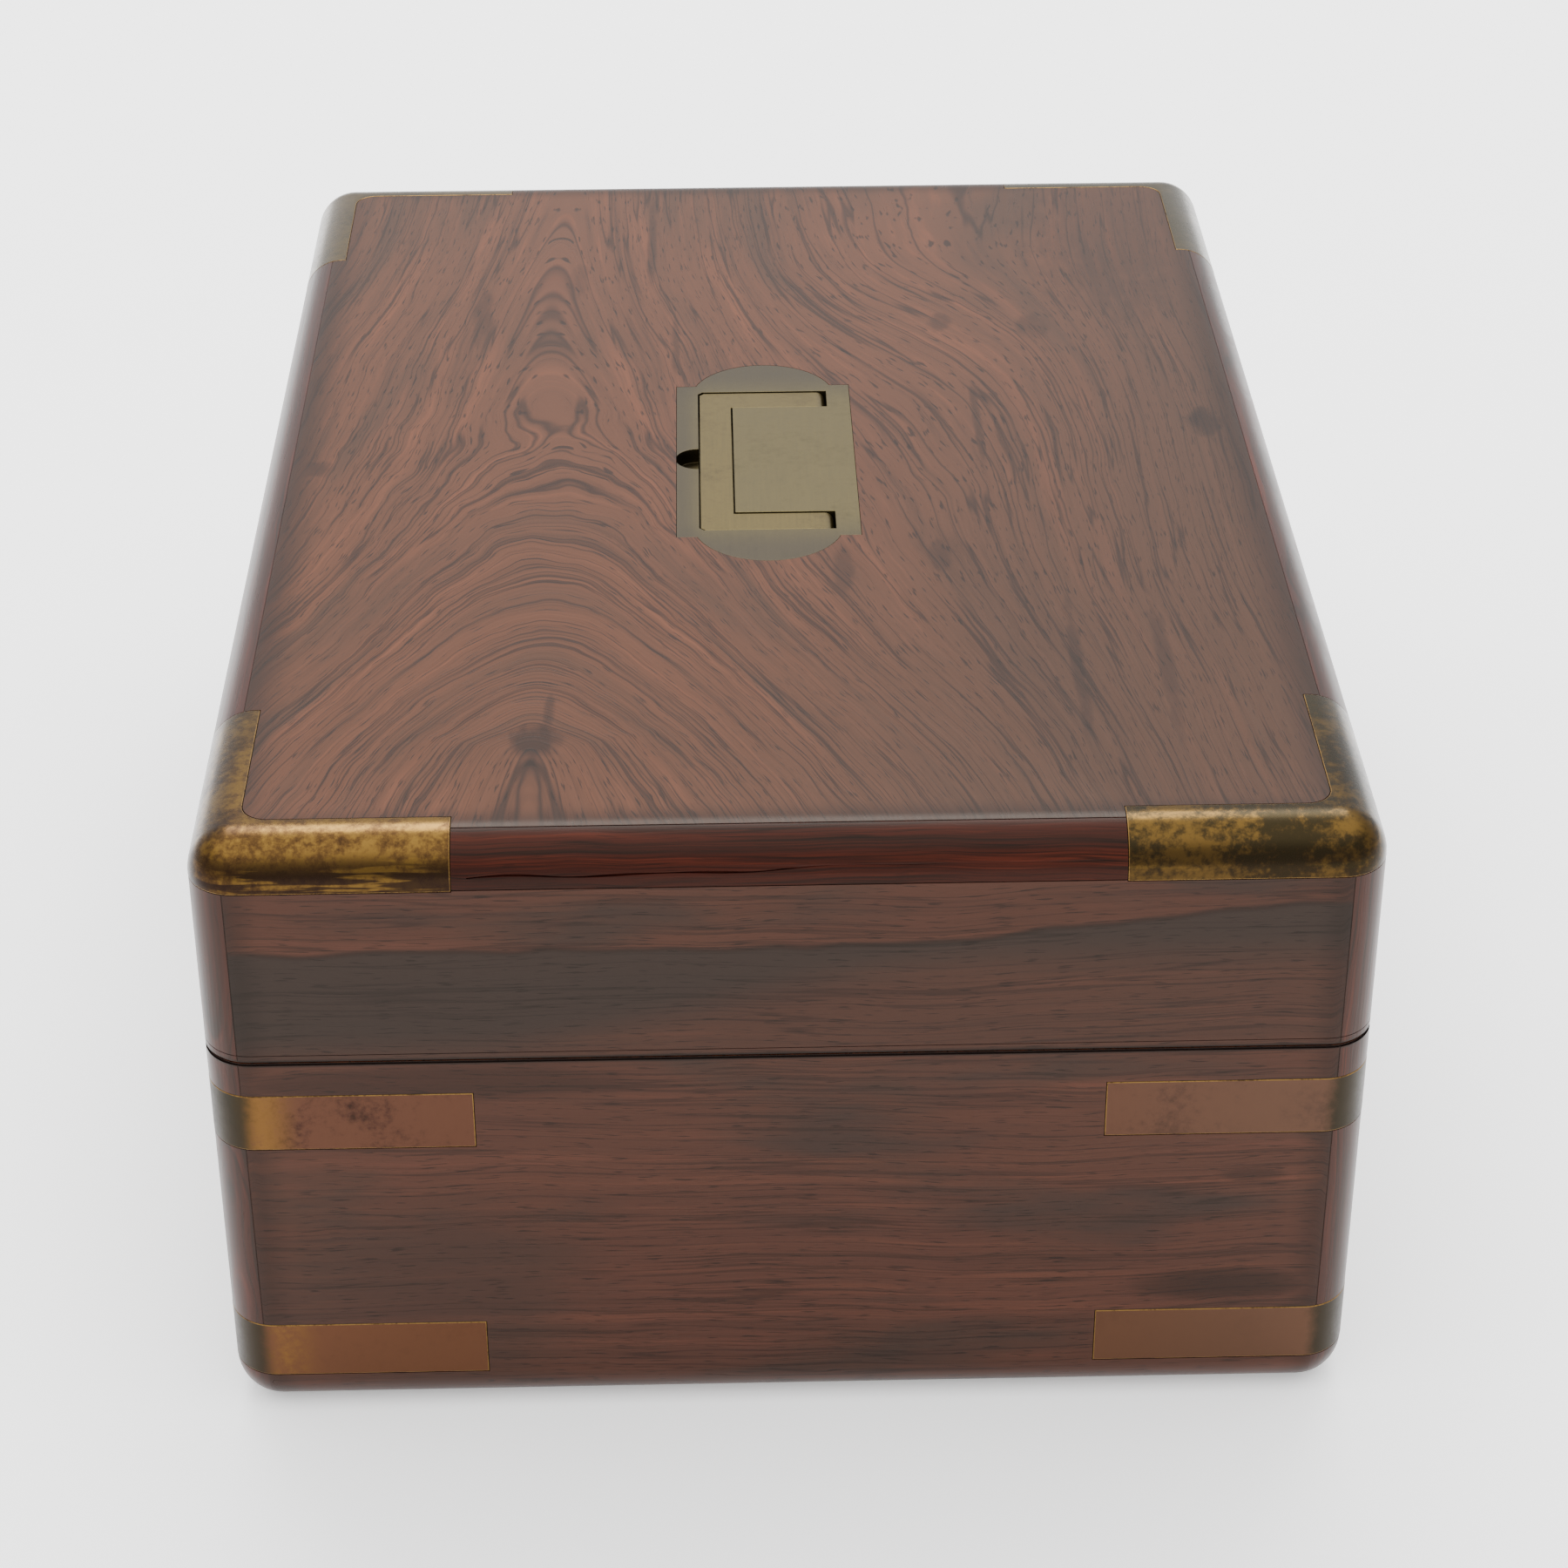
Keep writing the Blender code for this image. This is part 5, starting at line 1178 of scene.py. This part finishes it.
def make_bezel(metals):
    glass, glass_low, glass_high = GLASS
    profile = [
        (BOWL_OUTER + 0.3, BEZEL_BOTTOM),
        (BEZEL_OUTER - 0.4, BEZEL_BOTTOM),
        (BEZEL_OUTER - 0.4, 13.6),
        (BEZEL_OUTER - 1.1, 14.0),
        (BEZEL_OUTER - 1.1, 20.0),
        (BEZEL_OUTER - 0.2, 20.6),
        (BEZEL_OUTER - 0.2, 22.0),
        (BEZEL_OUTER - 0.9, 23.2),
        (BEZEL_OUTER - 2.2, BEZEL_TOP),
        (50.6, BEZEL_TOP),
        (49.0, 23.4),
        (BEZEL_INNER, 22.6),
        (BEZEL_INNER, glass_high + GLASS_ROOM),
        (glass + GLASS_ROOM, glass_high + GLASS_ROOM),
        (glass + GLASS_ROOM, glass_low - GLASS_ROOM),
        (BEZEL_INNER + 1, glass_low - GLASS_ROOM),
        (BEZEL_INNER + 1, BOWL_RIM + 0.4),
        (BOWL_OUTER + 0.3, BOWL_RIM + 0.4),
    ]
    bezel = turned(profile, 160)
    piece("fine_bezel", at_pivot(bezel), metals["brass"], "bowl", ["bezel"], angle=25)
    knurl = knurled(BEZEL_OUTER, *KNURL_LEVELS)
    piece("bezel_knurl", at_pivot(knurl), metals["brass"], "bowl", angle=20)


def make_glass(dial_looks):
    radius, low, high = GLASS
    profile = [
        (0, low),
        (radius - 0.5, low),
        (radius, low + 0.5),
        (radius, high - 1.2),
        (radius - 1.2, high - 0.3),
        (0, high),
    ]
    glass = turned(profile, 128)
    piece("fine_glass", at_pivot(glass), dial_looks["glass"], "bowl", ["bezel_glass"])


def stroke(start, end, start_width, end_width):
    """The outline of a straight stroke."""
    along = Vector((end[0] - start[0], end[1] - start[1])).normalized()
    across = Vector((-along.y, along.x))
    a, b = Vector(start), Vector(end)
    corners_here = (a - across * start_width / 2, b - across * end_width / 2,
                    b + across * end_width / 2, a + across * start_width / 2)
    return [tuple(point) for point in corners_here]


def ticks(centre, inner, outer, count, width):
    for step in range(count):
        angle = 180 - 360 * step / count
        yield stroke(polar(inner, angle, centre), polar(outer, angle, centre), width, width)


def roman(text, hour):
    """The strokes of one hour's numeral, its top away from the dial's middle."""
    angle = radians(180 - 30 * hour)
    up = (cos(angle), sin(angle))
    right = (sin(angle), -cos(angle))
    half = NUMERAL_HEIGHT / 2
    widths = [LETTERS[letter][0] for letter in text]
    left = -sum(widths) / 2

    def to_dial(u, v):
        reach = NUMERAL_RADIUS + v
        return (up[0] * reach + right[0] * u, up[1] * reach + right[1] * u)

    for letter, width in zip(text, widths):
        middle = left + width / 2
        left += width
        for start, end, thickness in LETTERS[letter][1]:
            ends = [to_dial(middle + u, v * half) for u, v in (start, end)]
            yield stroke(*ends, thickness * 2, thickness * 2)
            for u, v in (start, end):
                serif = [to_dial(middle + u + offset, v * half) for offset in (-0.9, 0.9)]
                yield stroke(*serif, 0.3, 0.3)


def numbers(labels, centre, radius, size, direction):
    """Small figures round a subdial, reading upright towards the dial's foot."""
    for step, label in enumerate(labels):
        curve = bpy.data.curves.new("figure", "FONT")
        curve.body = label
        curve.size = size * MM
        curve.extrude = PRINT * MM
        curve.align_x = "CENTER"
        curve.align_y = "CENTER"
        text = bpy.data.objects.new("figure", curve)
        bpy.context.scene.collection.objects.link(text)
        bpy.context.view_layer.update()
        graph = bpy.context.evaluated_depsgraph_get()
        mesh = bpy.data.meshes.new_from_object(text.evaluated_get(graph))
        bpy.data.objects.remove(text)
        shape = bpy.data.objects.new("figure", mesh)
        bpy.context.scene.collection.objects.link(shape)
        x, y = polar(radius, 180 + direction * step, centre)
        yield moved(shape, (x, y, PIVOT + DIAL[2] + PRINT), 90)


def make_dial(dial_looks):
    radius, low, high = DIAL
    holes = [circle(hole, 24, centre) for hole, centre in ARBOR_HOLES]
    dial = prism(circle(radius, 160), low, high, holes)
    piece("fine_dial", at_pivot(dial), dial_looks["silver"], "bowl", ["dial"])

    level = (high - 0.01, high + PRINT)
    marks = []
    for centre, reach, width in DIAL_RINGS:
        marks.append(prism(circle(reach + width, 120, centre), *level, [circle(reach, 120, centre)]))
    outlines = [outline for row in DIAL_TICKS for outline in ticks(*row)]
    for hour, text in enumerate(NUMERALS):
        outlines += roman(text, hour)
    marks += [prism(outline, *level) for outline in outlines]
    for mark in marks:
        at_pivot(mark)
    for row in DIAL_NUMBERS:
        marks += numbers(*row)
    piece("dial_figures", joined(marks), dial_looks["wax"], "bowl")


def spade_hand(length, width, tail, spade_at, spade_width):
    """A spade hand's outline about its arbor, pointing to -X."""
    half = width / 2
    side = [
        (tail, half * 1.6),
        (tail * 0.4, half),
        (0.0, half * 1.3),
        (-spade_at + spade_width, half * 0.7),
        (-spade_at + spade_width * 0.45, half * 0.8),
        (-spade_at + spade_width * 0.2, spade_width * 0.42),
        (-spade_at - spade_width * 0.1, spade_width * 0.5),
        (-spade_at - spade_width * 0.45, spade_width * 0.34),
        (-spade_at - spade_width * 0.8, half * 0.7),
        (-length, 0.06),
    ]
    return [(x, -y) for x, y in side] + [(x, y) for x, y in reversed(side)]


HANDS = {  # where each turns, its levels, its hub, its spade_hand numbers and its body
    "hour_hand": ((0, 0), (14.9, 15.5), 3.0, (27, 1.8, 4.5, 20.5, 6.5), "hour"),
    "minute_hand": ((0, 0), (16.0, 16.6), 2.6, (42, 1.5, 7.5, 34, 5.0), "centre"),
    "seconds_hand": (SECONDS_CENTRE, (14.0, 14.5), 1.6, (13, 0.5, 5, 10.0, 1.4), "fourth"),
    "updown_hand": (UPDOWN_CENTRE, (14.0, 14.5), 1.5, (9.5, 0.6, 3, 6.5, 1.4), "updown"),
}
CAP_PROFILE = ((0, 16.4), (1.7, 16.4), (1.7, 17.0), (1.2, 17.5), (0, 17.7))


def make_hands(metals):
    for name, (centre, levels, hub, spade, body) in HANDS.items():
        hand = unite(prism(spade_hand(*spade), *levels), rod(hub, 40, *levels))
        moved(hand, (*centre, PIVOT))
        piece(f"fine_{name}", hand, metals["blued"], body, [name], bevel=0.12)
    cap = turned(CAP_PROFILE, 40)
    piece("minute_cap", at_pivot(cap), metals["brass"], "centre")


HINGE_X = -115.8
HINGE_Z = 88.15
HINGE_CENTRES = {"left": -85.0, "right": 85.0}
HINGE_HALF = 25.0
KNUCKLE = 2.5
LEAF_ENDS = (-112.9, -104.5)
BASE_LEAF = (86.4, 88.0)
LID_LEAF = (88.3, 89.9)
LID_KNUCKLE_HALF = 8.6
BASE_KNUCKLE_FROM = 9.0
HINGE_PIN = 1.0
PIN_HOLE = 1.35
LEAF_SCREW_X = -108.7
LEAF_SCREWS = (-17, 0, 17)
LEAF_SLOT = (1.9, 0.25, 0.5)  # half its length, half its width and its depth


def knuckle(low, high, span):
    """A knuckle and the strip that joins it to its leaf, along Y."""
    barrel = rod(KNUCKLE, 40, *span, axis="Y", centre=(HINGE_X, HINGE_Z))
    return unite(barrel, block((HINGE_X, LEAF_ENDS[0] + 0.5), span, (low, high)))


def leaf_slots(leaf, centre, level, turn):
    """Cuts the slots of a leaf's screws into its face at level, which looks up where turn is 1."""
    half, side, depth = LEAF_SLOT
    for offset in LEAF_SCREWS:
        x_span = (LEAF_SCREW_X - half, LEAF_SCREW_X + half)
        y_span = (centre + offset - side, centre + offset + side)
        cut(leaf, block(x_span, y_span, sorted((level + 0.1 * turn, level - depth * turn))))


def make_hinges(metals):
    for name, centre in HINGE_CENTRES.items():
        near, far = centre - HINGE_HALF, centre + HINGE_HALF
        base = block(LEAF_ENDS, (near, far), BASE_LEAF)
        for span in ((near, centre - BASE_KNUCKLE_FROM), (centre + BASE_KNUCKLE_FROM, far)):
            unite(base, knuckle(*BASE_LEAF, span))
        unite(base, rod(HINGE_PIN, 16, near + 1, far - 1, axis="Y", centre=(HINGE_X, HINGE_Z)))
        middle = (centre - LID_KNUCKLE_HALF, centre + LID_KNUCKLE_HALF)
        lid = unite(block(LEAF_ENDS, (near, far), LID_LEAF), knuckle(*LID_LEAF, middle))
        cut(lid, rod(PIN_HOLE, 16, near, far, axis="Y", centre=(HINGE_X, HINGE_Z)))
        base_node, lid_node = f"hinge_{name}_base_leaf", f"hinge_{name}_lid_leaf"
        leaf_slots(base, centre, BASE_LEAF[1], 1)
        leaf_slots(lid, centre, LID_LEAF[0], -1)
        piece(f"fine_{base_node}", base, metals["brass"], "base", [base_node], bevel=0.15)
        piece(f"fine_{lid_node}", lid, metals["brass"], "lid", [lid_node], bevel=0.15)


KEYHOLE_Z = 72.0
ESCUTCHEON = (5.2, 7.2)
KEYHOLE = (*arc((0, 73.4), 1.8, -60, 240, 24), (-0.9, 68.8), (0.9, 68.8))


def make_lock_front(metals):
    """The keyhole's escutcheon let into the front, over the lock."""
    outline = ellipse(ESCUTCHEON, 64, (0, KEYHOLE_Z))
    shield = prism(outline, WIDTH / 2 - 0.6, WIDTH / 2 + 0.15, [KEYHOLE], axis="X")
    piece("key_escutcheon", shield, metals["mount"], "base", bevel=0.15)
    hole = [(1.04 * y, (z - KEYHOLE_Z) * 1.02 + KEYHOLE_Z) for y, z in KEYHOLE]
    dark = prism(hole, WIDTH / 2 - 0.5, WIDTH / 2 + 0.02, axis="X")
    piece("keyhole_shadow", dark, metals["hole"], "base")


KEY_AT = (-15.0, 117.0, 13.4)
KEY_ENDS = (-30.0, 26.0)
KEY_SQUARE = 2.2
BOW_CENTRE = (36.0, 0.0)
BOW_OUTER = (12.0, 15.0)
BOW_INNER = (7.0, 9.5)
BOW_HALF = 2.0


def make_key(metals):
    low, high = KEY_ENDS
    profile = [
        (0, low),
        (3.2, low),
        (3.5, low + 0.4),
        (3.5, low + 11),
        (2.9, low + 12),
        (2.9, high - 9),
        (3.9, high - 8),
        (4.0, high - 6.5),
        (3.9, high - 5),
        (2.6, high - 4),
        (2.6, high),
        (0, high),
    ]
    shaft = turned(profile, 48, axis="X")
    hole = ellipse(BOW_INNER, 56, BOW_CENTRE)
    unite(shaft, prism(ellipse(BOW_OUTER, 72, BOW_CENTRE), -BOW_HALF, BOW_HALF, [hole]))
    side = (-KEY_SQUARE, KEY_SQUARE)
    cut(shaft, block((low - 1, low + 10), side, side))
    piece("fine_winding_key", moved(shaft, KEY_AT), metals["brass"], "key", ["winding_key"], bevel=0.5)


LOCK_ARM_AT = (84.0, 81.0, 84.0)
LOCK_ARM_TIP = (-34.0, 0.0)
LOCK_ARM_LEVELS = (0.3, 2.8)


def make_lock_arm(metals):
    outline = [*arc((0, 0), 4.0, -100, 100, 24), *arc(LOCK_ARM_TIP, 2.0, 95, 265, 12)]
    arm = unite(prism(outline, *LOCK_ARM_LEVELS), rod(1.3, 24, -9.0, 1.0))
    moved(arm, LOCK_ARM_AT)
    piece("fine_lock_arm", arm, metals["brass"], "lock_arm", ["gimbal_lock_arm"], bevel=0.3)
    x, y, z = LOCK_ARM_AT
    screw = moved(screw_head(2.4, 0.9, 20), (x, y, z + LOCK_ARM_LEVELS[1]))
    piece("lock_arm_screw", screw, metals["steel"], "lock_arm", bevel=0.12)


PLATE_SCREW_X = 107.5
PLATE_SCREW_Y = 23.5
PLATES = {"lock_case": ("base", BASE_LEAF[1], False), "lock_link": ("lid", LID_LEAF[0], True)}


def make_plate_screws(metals):
    """Countersunk screws that hold the lock's two plates."""
    for name, (body, level, faces_down) in PLATES.items():
        heads = []
        for y in (-PLATE_SCREW_Y, PLATE_SCREW_Y):
            head = screw_head(1.9, 0.12, 35 + y)
            if faces_down:
                head.data.transform(Matrix.Rotation(pi, 4, "X"))
            heads.append(moved(head, (PLATE_SCREW_X, y, level)))
        piece(f"{name}_screws", joined(heads), metals["steel"], body)


DRESSED = {  # the starts of the CAD nodes' names. A later look wins, as for balance_spring over balance
    "brass": ("winding_shutter", "lock_case", "lock_link"),
    "gilt": ("pillar_plate", "back_plate", "balance", "fusee", "mainspring_barrel", "centre_wheel",
             "third_wheel", "fourth_wheel", "escape_wheel"),
    "steel": ("lock_bolt", "fusee_chain", "detent"),
    "blued": ("balance_spring",),
    "inside": ("partition",),
}


def dress(metals, woods):
    """Better materials and softened edges for the CAD pieces that stay."""
    looks = {**metals, "inside": woods["inside"]}
    for name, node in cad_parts.items():
        for look, starts in DRESSED.items():
            if name.startswith(starts):
                node.data.materials.clear()
                node.data.materials.append(looks[look])
    for name in ("partition_left", "partition_right"):
        add_bevel(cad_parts[name], 0.6)
    for name in ("lock_case", "lock_link_plate"):
        add_bevel(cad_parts[name], 0.15)


# ---------------------------------------------------------------- camera, floor and light

CAMERA_AT = (-0.0141, -0.7464, 0.5094)
CAMERA_PITCH = 31.61
CAMERA_YAW = -1.28
CAMERA_ROLL = -0.23
CAMERA_LENS = 84.76
FLOOR_REACH = 6000
FLOOR_THICKNESS = 20
FLOOR_GLOW = 0.35
SKY = (0.5, 0.9, 1.5, 3.6)  # the heights the sky brightens between, and its strength at each
OVERHEAD_AT = (0.0, 1.1, 2.0)
OVERHEAD_SIZE = (1.8, 0.9)
OVERHEAD_POWER = 60


def make_camera():
    camera = bpy.data.cameras.new("camera")
    camera.lens = CAMERA_LENS
    camera.sensor_width = 36.0
    holder = bpy.data.objects.new("camera", camera)
    turn = Matrix.Rotation(radians(CAMERA_YAW), 4, "Z") @ Matrix.Rotation(radians(90 - CAMERA_PITCH), 4, "X")
    turn = turn @ Matrix.Rotation(radians(CAMERA_ROLL), 4, "Z")
    holder.matrix_world = Matrix.Translation(CAMERA_AT) @ turn
    bpy.context.scene.collection.objects.link(holder)
    bpy.context.scene.camera = holder


def make_light(name, at, size, power, colour=(1.0, 1.0, 1.0)):
    """A soft rectangular light that faces the box."""
    light = bpy.data.lights.new(name, "AREA")
    light.shape = "RECTANGLE"
    light.size, light.size_y = size
    light.energy = power
    light.color = colour
    holder = bpy.data.objects.new(name, light)
    holder.location = at
    towards = Vector((0, 0, 0.07)) - Vector(at)
    holder.rotation_euler = towards.to_track_quat("-Z", "Y").to_euler()
    bpy.context.scene.collection.objects.link(holder)


def make_world():
    """A studio with a dim band near the horizon and a bright ceiling."""
    world = bpy.data.worlds.new("studio")
    world.use_nodes = True
    tree = world.node_tree
    direction = tree.nodes.new("ShaderNodeTexCoord")
    split = tree.nodes.new("ShaderNodeSeparateXYZ")
    ramp = tree.nodes.new("ShaderNodeMapRange")
    ramp.interpolation_type = "SMOOTHSTEP"
    for key, value in zip(("From Min", "From Max", "To Min", "To Max"), SKY):
        ramp.inputs[key].default_value = value
    tree.links.new(direction.outputs["Generated"], split.inputs[0])
    tree.links.new(split.outputs[2], ramp.inputs["Value"])
    tree.links.new(ramp.outputs[0], tree.nodes["Background"].inputs["Strength"])
    tree.nodes["Background"].inputs["Color"].default_value = (1, 1, 1, 1)
    bpy.context.scene.world = world


def make_stage():
    reach = FLOOR_REACH
    floor = prism(rectangle((-reach, -reach), (reach, reach)), -FLOOR_THICKNESS, 0)
    floor.name = "floor"
    graph = Graph("floor")
    x, y, _ = graph.xyz_mm()
    grain = graph.noise(graph.vector(x, y), scale=0.02, detail=2.0)
    colour = graph.mix(grain, (0.92, 0.92, 0.92, 1), (0.95, 0.95, 0.95, 1))
    look = graph.finish(
        Base_Color=colour,
        Roughness=0.9,
        Specular_IOR_Level=0.1,
        Emission_Color=(1, 1, 1, 1),
        Emission_Strength=FLOOR_GLOW,
    )
    floor.data.materials.append(look)
    make_world()
    make_light("overhead", OVERHEAD_AT, OVERHEAD_SIZE, OVERHEAD_POWER)


def main():
    make_camera()
    woods = make_woods()
    metals = make_metals()
    make_base(woods)
    make_lid(woods)
    make_brass(metals)
    make_handle(metals)
    dial_looks = make_dial_looks()
    make_gimbal(metals)
    make_brackets(metals)
    make_bowl(metals)
    make_bezel(metals)
    make_glass(dial_looks)
    make_dial(dial_looks)
    make_hands(metals)
    make_hinges(metals)
    make_lock_front(metals)
    make_lock_arm(metals)
    make_plate_screws(metals)
    make_key(metals)
    dress(metals, woods)
    make_stage()


main()
